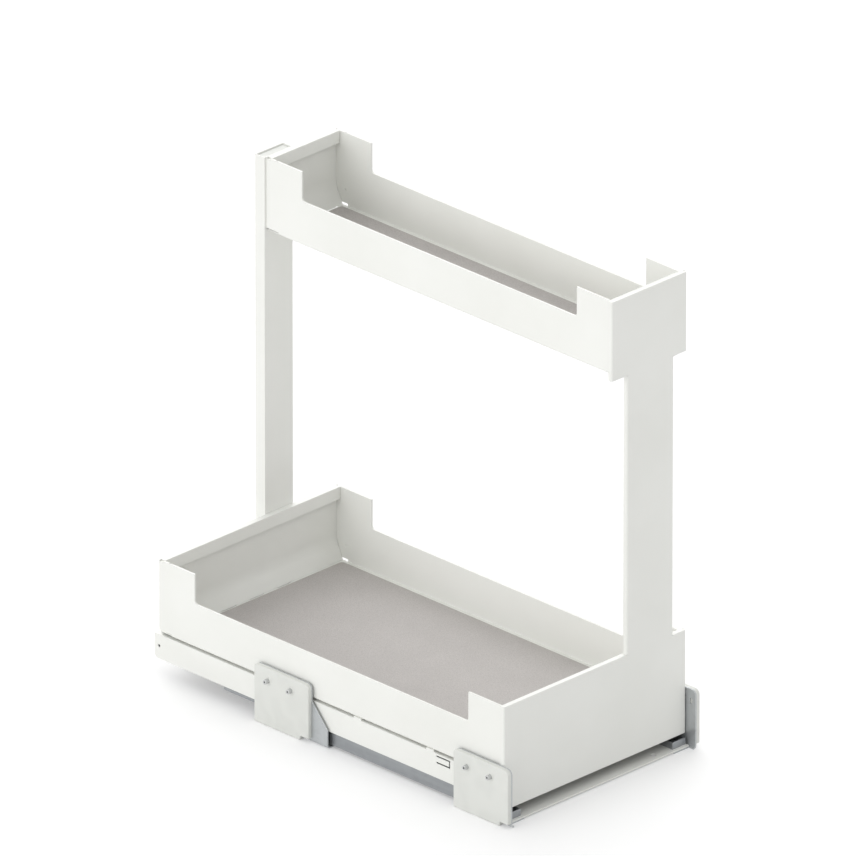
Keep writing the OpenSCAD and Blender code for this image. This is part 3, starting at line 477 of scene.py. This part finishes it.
def settled_dust_group():
    """A faint film of dust on faces that look up."""
    tree, given, out = new_group(
        "settled_dust", [("Colour", "Color", (0.8, 0.8, 0.8, 1)), ("Amount", "Float", 0.1)],
        [("Color", "Color")])
    normal = place(tree, "ShaderNodeNewGeometry").outputs["Normal"]
    up = spread(tree, place(tree, "ShaderNodeSeparateXYZ", {0: normal}).outputs["Z"], 0.6, 1.0)
    film = spread(tree, noise(tree, own_point(tree), 45.0, 5.0, 0.65), 0.4, 0.75)
    amount = calculate(tree, "MULTIPLY", calculate(tree, "MULTIPLY", up, film), given["Amount"])
    wire(tree, out, {"Color": blend_colours(tree, amount, given["Colour"], DUST_COLOUR)})


GROUP_MAKERS = {
    "edge_line": edge_line_group, "powder_coat": powder_coat_group, "rolled_zinc": rolled_zinc_group,
    "moulded_grain": moulded_grain_group, "settled_dust": settled_dust_group,
}


def use_group(tree, name, inputs):
    """Places a shared node group, which is built the first time it is needed."""
    if name not in bpy.data.node_groups:
        GROUP_MAKERS[name]()
    return place(tree, "ShaderNodeGroup", inputs, node_tree=bpy.data.node_groups[name])


def new_material(name):
    """A material with only its Principled shader."""
    material = bpy.data.materials.new(name)
    material.use_nodes = True
    tree = material.node_tree
    tree.nodes.clear()
    shader = place(tree, "ShaderNodeBsdfPrincipled")
    place(tree, "ShaderNodeOutputMaterial", {"Surface": shader.outputs[0]})
    return material, tree, shader


def skin(name, group, inputs, edge_width, bump_distance, bump_strength, dust):
    """A material whose colour, roughness and bump come from one shared group, with worn edges and dust."""
    material, tree, shader = new_material(name)
    edge = use_group(tree, "edge_line", {"Width": edge_width})
    surface = use_group(tree, group, {**inputs, "Edge": edge.outputs["Mask"]}).outputs
    film = use_group(tree, "settled_dust", {"Colour": surface["Color"], "Amount": dust})
    bump = place(tree, "ShaderNodeBump", {
        "Height": surface["Height"], "Strength": bump_strength, "Distance": bump_distance})
    wire(tree, shader.inputs, {"Base Color": film.outputs["Color"], "Roughness": surface["Roughness"],
                               "Normal": bump.outputs["Normal"]})
    return material, shader


def coat_material(settings):
    """White powder coat."""
    material, shader = skin(
        "white_powder_coat", "powder_coat",
        {"Colour": settings.colour, "Edge Colour": settings.edge_colour, "Peel Scale": settings.peel_scale,
         "Roughness": settings.roughness},
        edge_width=0.7 * MM, bump_distance=0.012 * MM, bump_strength=0.6, dust=0.05)
    shader.inputs["Specular IOR Level"].default_value = 0.42
    return material


def steel_material(name, colour, settings):
    """Galvanised, plated or polished steel of one colour."""
    metallic, roughness, streaks = STEEL[name]
    material, shader = skin(
        name, "rolled_zinc",
        {"Colour": colour, "Spangle Scale": settings.spangle_scale, "Roughness": roughness,
         "Streaks": streaks},
        edge_width=0.5 * MM, bump_distance=0.01 * MM, bump_strength=0.7, dust=0.04)
    shader.inputs["Metallic"].default_value = metallic
    return material


def moulded_material(name, colour, settings):
    """Moulded plastic of one colour."""
    return skin(
        name, "moulded_grain",
        {"Colour": colour, "Grain Scale": settings.grain_scale, "Roughness": PLASTIC[name]},
        edge_width=0.5 * MM, bump_distance=0.015 * MM, bump_strength=0.8, dust=0.04)[0]


def add_modifier(thing, name, kind, **attributes):
    """Adds a modifier and sets its attributes."""
    modifier = thing.modifiers.new(name, kind)
    for key, value in attributes.items():
        setattr(modifier, key, value)


def round_edges(thing, radius):
    """Joins a mesh along its sharp edges and rounds them."""
    add_modifier(thing, "join_faces", "WELD", merge_threshold=WELD_DISTANCE)
    add_modifier(thing, "merge_flats", "DECIMATE", decimate_type="DISSOLVE", angle_limit=FLAT_ANGLE)
    add_modifier(thing, "round_edges", "BEVEL", width=radius, segments=2, limit_method="ANGLE",
                 angle_limit=SHARP_ANGLE, use_clamp_overlap=False, loop_slide=False)
    add_modifier(thing, "shade_flats", "WEIGHTED_NORMAL", mode="FACE_AREA", weight=50)


def finish_nodes(names, material, radius=0.0):
    """Gives CAD nodes their material, and rounds their edges where a radius is given."""
    for name in names:
        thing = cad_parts[name]
        if not thing.material_slots:
            raise RuntimeError("node %s has no material slot" % name)
        for slot in thing.material_slots:
            slot.link = "OBJECT"
            slot.material = material
        if radius:
            round_edges(thing, radius)


def new_mesh(name, fill, *given):
    """A mesh from a bmesh that a function fills."""
    mesh = bpy.data.meshes.new(name)
    shape = bmesh.new()
    fill(shape, *given)
    bmesh.ops.recalc_face_normals(shape, faces=shape.faces)
    shape.to_mesh(mesh)
    shape.free()
    return mesh


def new_object(name, data):
    """An object in the scene for a mesh, a light or a camera."""
    thing = bpy.data.objects.new(name, data)
    bpy.context.scene.collection.objects.link(thing)
    return thing


def new_piece(name, material, body, slot, fill, *given):
    """Makes a piece from a bmesh that a function fills, and lets it ride on a body."""
    mesh = new_mesh(name, fill, *given)
    piece = new_object(name, mesh)
    mesh.materials.append(material)
    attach(piece, body)
    return piece


def smooth(piece, angle):
    """Smooth shading with sharp edges above an angle in degrees."""
    for face in piece.data.polygons:
        face.use_smooth = True
    piece.data.set_sharp_from_angle(angle=math.radians(angle))


def loft(shape, rings, joined=False):
    """Joins rings of equal length into one skin, and closes its ends or joins the last ring to the first."""
    levels = [[shape.verts.new(point) for point in ring] for ring in rings]
    count = len(levels[0])
    for low, high in zip(levels, levels[1:] + levels[:1] if joined else levels[1:]):
        for n in range(count):
            m = (n + 1) % count
            shape.faces.new((low[n], low[m], high[m], high[n]))
    if not joined:
        shape.faces.new(list(reversed(levels[0])))
        shape.faces.new(levels[-1])


def circle(radius, steps):
    """Points round a circle about the origin."""
    angles = [2 * math.pi * n / steps for n in range(steps)]
    return [(radius * math.cos(angle), radius * math.sin(angle)) for angle in angles]


def turned(shape, side, centre, profile, joined=False):
    """Turns a profile of radius and place about an axis that runs across, out towards one side."""
    loft(shape, [[(side * out, centre[0] + y, centre[1] + z) for y, z in circle(radius, PIN_STEPS)]
                 for radius, out in profile], joined)


def rounding(across, up, steps):
    """Inset and rise of the points that round an edge, from upright to level."""
    angles = [math.radians(90 / steps * n) for n in range(1, steps + 1)]
    return [(across * (1 - math.cos(angle)), up * math.sin(angle)) for angle in angles]


def round_corners(corners):
    """Points along quarter circles, each given by its centre, radius and first angle in degrees."""
    points = []
    for x, y, radius, start in corners:
        for n in range(ARC_STEPS + 1):
            angle = math.radians(start + 90 * n / ARC_STEPS)
            points.append((x + radius * math.cos(angle), y + radius * math.sin(angle)))
    return points


def loose_solids(node):
    """Lowest and highest corners of each separate solid of a CAD node, in an order that never changes."""
    shape = bmesh.new()
    shape.from_mesh(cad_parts[node].data)
    bmesh.ops.remove_doubles(shape, verts=shape.verts, dist=WELD_DISTANCE)
    left = set(shape.verts)
    boxes = []
    while left:
        seed = left.pop()
        found, edge = [seed], [seed]
        while edge:
            vert = edge.pop()
            for link in vert.link_edges:
                other = link.other_vert(vert)
                if other in left:
                    left.discard(other)
                    found.append(other)
                    edge.append(other)
        low = Vector([min(v.co[i] for v in found) for i in range(3)])
        high = Vector([max(v.co[i] for v in found) for i in range(3)])
        boxes.append((low, high))
    shape.free()
    if not boxes:
        raise RuntimeError("no solids found in " + node)
    return sorted(boxes, key=lambda box: [round(box[0][i], 5) for i in (0, 2, 1)])


def side_and_reach(low, high):
    """The side of a box, 1 or -1, and the distances from the middle plane at which it starts and ends."""
    start, end = sorted((abs(low.x), abs(high.x)))
    return (1 if low.x > 0 else -1), start, end


class PULLOUT_OT_coat_sheets(bpy.types.Operator):
    """Coats the folded sheets: panel, post, trays, rails, cross members and tie plates."""

    bl_idname = "pullout.coat_sheets"
    bl_label = "Coat the folded sheets"

    def execute(self, context):
        settings = context.scene.pullout_coat
        finish_nodes(COATED_SHEETS, coat_material(settings), settings.edge_radius)
        return {"FINISHED"}


class PULLOUT_OT_finish_runners(bpy.types.Operator):
    """Gives the profiles, end plates and catch hooks their zinc."""

    bl_idname = "pullout.finish_runners"
    bl_label = "Finish the runners"

    def execute(self, context):
        settings = context.scene.pullout_steel
        for names, finish, colour in (
                (DULL_PROFILES, "dull_zinc_profile", settings.profile_colour),
                (BRIGHT_PROFILES, "bright_zinc_profile", settings.bright_colour),
                (END_PLATES, "dark_end_plate", settings.plate_colour)):
            finish_nodes(names, steel_material(finish, colour, settings), settings.edge_radius)
        return {"FINISHED"}


class PULLOUT_OT_finish_brackets(bpy.types.Operator):
    """Gives the brackets and rivets their zinc."""

    bl_idname = "pullout.finish_brackets"
    bl_label = "Finish the brackets"

    def execute(self, context):
        settings = context.scene.pullout_steel
        colour = settings.bracket_colour
        finish_nodes(BRACKETS, steel_material("pressed_bracket", colour, settings), settings.edge_radius)
        finish_nodes(["tie_rivets"], steel_material("upset_rivet", colour, settings))
        return {"FINISHED"}


class PULLOUT_OT_turn_pins(bpy.types.Operator):
    """Turns the hollow locating pins."""

    bl_idname = "pullout.turn_pins"
    bl_label = "Turn the locating pins"

    def execute(self, context):
        settings = context.scene.pullout_spacers
        material = steel_material("turned_pin", settings.pin_colour, context.scene.pullout_steel)
        piece = new_piece("locating_pins_turned", material, "fixed_set", "zinc_steel", self.pins, settings)
        smooth(piece, 30.0)
        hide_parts("locating_pins")
        return {"FINISHED"}

    def pins(self, shape, settings):
        """Pins with a thick shank in bracket and plate, a thinner free end, and a bore in both ends."""
        free, bore, cut = settings.pin_diameter / 2, settings.pin_bore / 2, BORE_CHAMFER
        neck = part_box("spacer_front_r")[1].x - PIN_SUNK
        middle = 0.3 * PIN_ROUNDING  # where a quarter circle comes nearest to the corner it rounds
        for low, high in loose_solids("locating_pins"):
            side, start, end = side_and_reach(low, high)
            shank = (high.z - low.z) / 2
            profile = [
                (bore, start + BORE_DEPTH), (bore, start + cut), (bore + cut, start), (shank - cut, start),
                (shank, start + cut), (shank, neck), (free, neck), (free, end - PIN_ROUNDING),
                (free - middle, end - middle), (free - PIN_ROUNDING, end), (bore + cut, end),
                (bore, end - cut), (bore, end - BORE_DEPTH)]
            turned(shape, side, ((low.y + high.y) / 2, (low.z + high.z) / 2), profile)


class PULLOUT_OT_mould_spacers(bpy.types.Operator):
    """Moulds the white spacer plates, with a ring round each pin, and finishes the post's cap."""

    bl_idname = "pullout.mould_spacers"
    bl_label = "Mould the spacer plates"

    def execute(self, context):
        settings = context.scene.pullout_spacers
        moulded = context.scene.pullout_moulded
        material = moulded_material("white_moulded_plate", moulded.plate_colour, moulded)
        pins = [((low.y + high.y) / 2, (low.z + high.z) / 2) for low, high in loose_solids("locating_pins")]
        for node in SPACERS:
            low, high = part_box(node)
            centres = sorted({(round(y, 5), round(z, 5)) for y, z in pins if low.y < y < high.y})
            if len(centres) != 2:
                raise RuntimeError("no pins found for " + node)
            piece = new_piece(node + "_plate", material, "fixed_set", "white_plastic",
                              self.plate, settings, low, high, centres)
            smooth(piece, 40.0)
            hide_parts(node)
        finish_nodes(["post_cap"], material, CAP_EDGE)
        return {"FINISHED"}

    def plate(self, shape, settings, low, high, centres):
        """One plate with a small chamfer inside and a round edge outside, and the rings round its pins."""
        side, inner, outer = side_and_reach(low, high)
        edge, soft = settings.edge_radius, COLLAR_ROUNDING
        profile = [(PLATE_CHAMFER, inner), (0.0, inner + PLATE_CHAMFER), (0.0, outer - edge)]
        profile += [(inset, outer - edge + rise) for inset, rise in rounding(edge, edge, 6)]
        loft(shape, [[(side * out, y, z) for y, z in self.outline(settings, low, high, inset)]
                     for inset, out in profile])
        hole = settings.pin_diameter / 2 + COLLAR_PLAY
        rim, top = hole + settings.collar_width, outer + settings.collar_height
        collar = [(hole, outer - soft), (rim, outer - soft), (rim, top - soft), (rim - soft, top),
                  (hole + soft, top), (hole, top - soft)]
        for centre in centres:
            turned(shape, side, centre, collar, joined=True)

    def outline(self, settings, low, high, inset):
        """Side view of a plate, inset all round: raised step at the lower front, round corners above."""
        front, rear, base, top = low.y + inset, high.y - inset, low.z + inset, high.z - inset
        step_y, step_z = front + settings.step_length, base + settings.step_height
        small = max(PLATE_CORNER - inset, LEAST_CORNER)
        at_rear, at_front = settings.rear_radius - inset, settings.front_radius - inset
        return round_corners((
            (step_y + small, base + small, small, 180), (rear - small, base + small, small, 270),
            (rear - at_rear, top - at_rear, at_rear, 0), (front + at_front, top - at_front, at_front, 90),
            (front + small, step_z + small, small, 180))) + [(step_y, step_z)]


class PULLOUT_OT_finish_carriages(bpy.types.Operator):
    """Finishes the ball carriages and polishes the balls."""

    bl_idname = "pullout.finish_carriages"
    bl_label = "Finish the carriages and balls"

    def execute(self, context):
        moulded, steel = context.scene.pullout_moulded, context.scene.pullout_steel
        finish_nodes(CARRIAGES, moulded_material("carriage_plastic", moulded.carriage_colour, moulded))
        finish_nodes(BALLS, steel_material("polished_ball", steel.ball_colour, steel))
        return {"FINISHED"}


class PULLOUT_OT_finish_mouldings(bpy.types.Operator):
    """Finishes the couplings and the release levers, and adds the grip ribs under the levers."""

    bl_idname = "pullout.finish_mouldings"
    bl_label = "Finish the couplings and levers"

    def execute(self, context):
        settings = context.scene.pullout_moulded
        coupling = moulded_material("dark_coupling", settings.coupling_colour, settings)
        finish_nodes(COUPLINGS, coupling, COUPLING_EDGE)
        material = moulded_material("lever_plastic", settings.lever_colour, settings)
        finish_nodes(LEVERS, material, LEVER_EDGE)
        for name in LEVERS:
            low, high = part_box(name)
            middle = high.x - RIB_INSET if name.endswith("_l") else low.x + RIB_INSET
            new_piece("grip_ribs_" + name[-1], material, name, "lever_plastic",
                      self.ribs, settings.rib_count, middle, low)
        return {"FINISHED"}

    def ribs(self, shape, count, middle, low):
        """A row of ribs that narrow downwards."""
        for n in range(count):
            start = low.y + RIB_START + n * RIB_PITCH
            loft(shape, [[(middle + x, start + y, low.z + up)
                          for x, y in ((-half, near), (half, near), (half, far), (-half, far))]
                         for half, near, far, up in RIB_RINGS])


class PULLOUT_OT_lay_mats(bpy.types.Operator):
    """Lays the mats in the trays."""

    bl_idname = "pullout.lay_mats"
    bl_label = "Lay the mats"

    def execute(self, context):
        settings = context.scene.pullout_mat
        material = self.grain(settings)
        for node in ("lower_mat", "upper_mat"):
            piece = new_piece(node + "_sheet", material, "frame", "grey_mat",
                              self.sheet, settings, *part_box(node))
            smooth(piece, 50.0)
            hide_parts(node)
        return {"FINISHED"}

    def sheet(self, shape, settings, low, high):
        """One mat with a rounded upper edge and a shallow border inside it."""
        thick, edge = high.z - low.z, settings.edge_radius
        profile = [(MAT_CHAMFER, 0.0), (0.0, MAT_CHAMFER), (0.0, thick - edge)]
        profile += [(inset, thick - edge + rise) for inset, rise in rounding(edge, edge, 3)]
        profile += [(edge + width, thick - depth) for width, depth in MAT_BORDER]
        rings = []
        for inset, up in profile:
            radius = max(settings.corner_radius - inset, MAT_LEAST_CORNER)
            left, right = low.x + inset + radius, high.x - inset - radius
            front, rear = low.y + inset + radius, high.y - inset - radius
            corners = ((right, rear, radius, 0), (left, rear, radius, 90), (left, front, radius, 180),
                       (right, front, radius, 270))
            rings.append([(x, y, low.z + up) for x, y in round_corners(corners)])
        loft(shape, rings)

    def grain(self, settings):
        """Close, soft grain with darker flecks."""
        material, tree, shader = new_material("grey_mat_grain")
        point = own_point(tree)
        fine = noise(tree, point, settings.grain_scale, roughness=0.7)
        cell = place(tree, "ShaderNodeTexVoronoi", {"Vector": point, "Scale": settings.grain_scale * 0.9})
        worn = spread(tree, noise(tree, point, 26.0), 0.35, 0.7)
        base = blend_colours(tree, worn, settings.colour, toned(tree, settings.colour, value=1.05))
        flecks = spread(tree, fine, 0.56, 0.40, 0.0, 0.75)
        height = calculate(tree, "ADD", fine, cell.outputs["Distance"])
        bump = place(tree, "ShaderNodeBump", {"Height": height, "Strength": 0.9, "Distance": 0.12 * MM})
        wire(tree, shader.inputs, {
            "Base Color": blend_colours(tree, flecks, base, settings.fleck_colour),
            "Roughness": spread(tree, fine, 0.3, 0.7, 0.78, 0.92), "Normal": bump.outputs["Normal"]})
        shader.inputs["Specular IOR Level"].default_value = 0.25
        return material


class PULLOUT_OT_drive_screws(bpy.types.Operator):
    """Drives the plated screws of the panel and the coated, flush screws of the rear post."""

    bl_idname = "pullout.drive_screws"
    bl_label = "Drive the screws"

    def execute(self, context):
        settings = context.scene.pullout_screws
        plated = steel_material("zinc_plated_screw", settings.colour, context.scene.pullout_steel)
        painted = bpy.data.materials["white_powder_coat"]
        for node, material, slot, cut, tip in (
                ("panel_screws", plated, "bright_zinc", 0.0, SHARP_TIP),
                ("post_screws", painted, "white_coat", settings.flush_cut, FLUSH_TIP)):
            boxes = loose_solids(node)
            model = self.one_screw(settings, boxes[0], cut, tip)
            piece = new_piece(node + "_heads", material, "frame", slot, self.screws, model, boxes)
            smooth(piece, 30.0)
            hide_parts(node)
            bpy.data.meshes.remove(model)
        return {"FINISHED"}

    def screws(self, shape, model, boxes):
        """A copy of the model in each box, its head at the rear."""
        turn = Matrix.Rotation(math.radians(-90), 4, "X")
        for low, high in boxes:
            seat = Vector(((low.x + high.x) / 2, high.y - HEAD_HEIGHT, (low.z + high.z) / 2))
            copy = model.copy()
            copy.transform(Matrix.Translation(seat) @ turn)
            shape.from_mesh(copy)
            bpy.data.meshes.remove(copy)

    def one_screw(self, settings, box, cut, tip):
        """One screw that points down, its head above the origin's plane, with a cross recess."""
        low, high = box
        length = (high.y - low.y) - HEAD_HEIGHT - cut
        blank = new_mesh("screw_blank", self.blank, (high.x - low.x) / 2, length, tip)
        punch = new_mesh("screw_punch", self.punch, settings)
        body, tool = new_object("screw_blank", blank), new_object("screw_punch", punch)
        add_modifier(body, "recess", "BOOLEAN", operation="DIFFERENCE", solver="EXACT", object=tool)
        bpy.context.view_layer.update()
        shaped = body.evaluated_get(bpy.context.evaluated_depsgraph_get())
        made = bpy.data.meshes.new_from_object(shaped)
        for thing, mesh in ((body, blank), (tool, punch)):
            bpy.data.objects.remove(thing)
            bpy.data.meshes.remove(mesh)
        return made

    def blank(self, shape, radius, length, tip):
        """Tip, thread and pan head, without the recess."""
        profile = [(width, -length + up) for width, up in tip]
        for n in range(THREAD_TURNS):
            z = -length + THREAD_START + n * THREAD_PITCH
            profile += [(CREST, z + CREST_RISE), (ROOT, z + ROOT_RISE)]
        profile += [(CREST, -NECK), (radius - HEAD_CHAMFER, 0.0), (radius, HEAD_CHAMFER), (radius, HEAD_RIM)]
        profile += [(radius - inset, HEAD_RIM + rise)
                    for inset, rise in rounding(HEAD_ROUNDING, HEAD_CROWN, 5)]
        loft(shape, [[(x, y, z) for x, y in circle(width, SCREW_STEPS)] for width, z in profile])

    def punch(self, shape, settings):
        """A tapered cross that cuts the recess."""
        half, arm = settings.recess_span / 2, settings.recess_width / 2
        cross = [(half, arm), (arm, arm), (arm, half), (-arm, half), (-arm, arm), (-half, arm),
                 (-half, -arm), (-arm, -arm), (-arm, -half), (arm, -half), (arm, -arm), (half, -arm)]
        bottom = HEAD_HEIGHT - settings.recess_depth
        loft(shape, [[(x * RECESS_TAPER, y * RECESS_TAPER, bottom) for x, y in cross],
                     [(x, y, HEAD_HEIGHT + RECESS_OVERLAP) for x, y in cross]])


def seen_directly(tree):
    """1 for rays from the camera, off a glossy face or through glass, and 0 for the rest."""
    path = place(tree, "ShaderNodeLightPath").outputs
    seen = calculate(tree, "MAXIMUM", path["Is Camera Ray"], path["Is Glossy Ray"])
    return calculate(tree, "MAXIMUM", seen, path["Is Transmission Ray"])


class PULLOUT_OT_set_stage(bpy.types.Operator):
    """Sets the floor, the lamps, the world and the camera."""

    bl_idname = "pullout.set_stage"
    bl_label = "Set the stage"

    def execute(self, context):
        settings = context.scene.pullout_stage
        self.floor(settings)
        self.world(context.scene, settings)
        for name, (towards, width) in LAMPS.items():
            self.lamp(name, getattr(settings, name), towards, width)
        self.camera(context.scene, settings)
        context.scene.view_settings.view_transform = "Standard"
        return {"FINISHED"}

    def floor(self, settings):
        """A wide pale floor that shows white to the camera, keeps the shadow and is clear from below."""
        mesh = bpy.data.meshes.new("stage_floor")
        corners = [(x * FLOOR_REACH, y * FLOOR_REACH, 0) for x, y in ((-1, -1), (1, -1), (1, 1), (-1, 1))]
        mesh.from_pydata(corners, [], [(0, 1, 2, 3)])
        floor = new_object("stage_floor", mesh)
        floor.location.z = -FLOOR_DROP
        material, tree, shader = new_material("stage_floor")
        shader.inputs["Roughness"].default_value = 0.9
        shader.inputs["Specular IOR Level"].default_value = 0.0
        shader.inputs["Emission Color"].default_value = WHITE
        low = tuple(c * 0.99 for c in settings.floor_colour[:3]) + (1.0,)
        cloud = noise(tree, own_point(tree), 2.0, 2.0)
        wire(tree, shader.inputs, {
            "Base Color": blend_colours(tree, cloud, settings.floor_colour, low),
            "Emission Strength": calculate(tree, "MULTIPLY", seen_directly(tree), FLOOR_LIFT)})
        pick = place(tree, "ShaderNodeMixShader", {
            0: place(tree, "ShaderNodeNewGeometry").outputs["Backfacing"], 1: shader.outputs[0],
            2: place(tree, "ShaderNodeBsdfTransparent").outputs[0]})
        output = next(node for node in tree.nodes if node.bl_idname == "ShaderNodeOutputMaterial")
        tree.links.new(pick.outputs[0], output.inputs["Surface"])
        mesh.materials.append(material)

    def world(self, scene, settings):
        """Plain light all round, and white where the camera looks past the floor."""
        world = bpy.data.worlds.new("plain_light")
        scene.world = world
        world.use_nodes = True
        tree = world.node_tree
        tree.nodes.clear()
        plain = place(tree, "ShaderNodeBackground", {"Color": WHITE, "Strength": settings.sky})
        white = place(tree, "ShaderNodeBackground", {"Color": WHITE, "Strength": 1.0})
        pick = place(tree, "ShaderNodeMixShader", {
            0: seen_directly(tree), 1: plain.outputs[0], 2: white.outputs[0]})
        place(tree, "ShaderNodeOutputWorld", {"Surface": pick.outputs[0]})

    def lamp(self, name, strength, towards, width):
        """A soft distant light that shines from a direction."""
        data = bpy.data.lights.new(name, "SUN")
        data.energy = strength
        data.angle = math.radians(width)
        lamp = new_object(name, data)
        lamp.rotation_mode = "QUATERNION"
        lamp.rotation_quaternion = Vector(towards).to_track_quat("Z", "Y")

    def camera(self, scene, settings):
        """The camera, far off with a long lens, for a view as parallel as the photograph's."""
        data = bpy.data.cameras.new("camera")
        data.lens = settings.lens
        data.sensor_width = SENSOR_WIDTH
        data.clip_start, data.clip_end = CLIP_START, CLIP_END
        level = math.cos(settings.elevation)
        back = Vector((math.sin(settings.azimuth) * level, -math.cos(settings.azimuth) * level,
                       math.sin(settings.elevation)))
        distance = PICTURE_WIDTH * data.lens / (data.sensor_width * settings.pixels_per_mm) * MM
        camera = new_object("camera", data)
        camera.location = Vector(settings.target) + back * distance
        camera.rotation_mode = "QUATERNION"
        camera.rotation_quaternion = (-back).to_track_quat("-Z", "Y")
        scene.camera = camera


class PULLOUT_PT_panel(bpy.types.Panel):
    """Lists the steps and their settings."""

    bl_label = "Pull-out"
    bl_idname = "PULLOUT_PT_panel"
    bl_space_type = "VIEW_3D"
    bl_region_type = "UI"
    bl_category = "Pull-out"

    def draw(self, context):
        for name in STEPS:
            self.layout.operator("pullout." + name)
        for name in SETTINGS:
            group = getattr(context.scene, name)
            for key in group.__annotations__:
                self.layout.prop(group, key)


STEPS = ("coat_sheets", "finish_runners", "finish_brackets", "turn_pins", "mould_spacers",
         "finish_carriages", "finish_mouldings", "lay_mats", "drive_screws", "set_stage")
SETTINGS = {
    "pullout_coat": CoatSettings, "pullout_steel": SteelSettings, "pullout_moulded": MouldedSettings,
    "pullout_spacers": SpacerSettings, "pullout_mat": MatSettings, "pullout_screws": ScrewSettings,
    "pullout_stage": StageSettings,
}
CLASSES = (
    *SETTINGS.values(), PULLOUT_OT_coat_sheets, PULLOUT_OT_finish_runners, PULLOUT_OT_finish_brackets,
    PULLOUT_OT_turn_pins, PULLOUT_OT_mould_spacers, PULLOUT_OT_finish_carriages,
    PULLOUT_OT_finish_mouldings, PULLOUT_OT_lay_mats, PULLOUT_OT_drive_screws, PULLOUT_OT_set_stage,
    PULLOUT_PT_panel,
)


def register():
    """Registers the classes and hangs the settings on the scene."""
    for item in CLASSES:
        bpy.utils.register_class(item)
    for name, kind in SETTINGS.items():
        setattr(bpy.types.Scene, name, PointerProperty(type=kind))


def unregister():
    """Takes the settings and the classes away again."""
    for name in SETTINGS:
        delattr(bpy.types.Scene, name)
    for item in reversed(CLASSES):
        bpy.utils.unregister_class(item)


def main():
    """Runs every step in order."""
    register()
    for name in STEPS:
        getattr(bpy.ops.pullout, name)()
    bpy.context.view_layer.update()


if __name__ == "__main__":
    main()
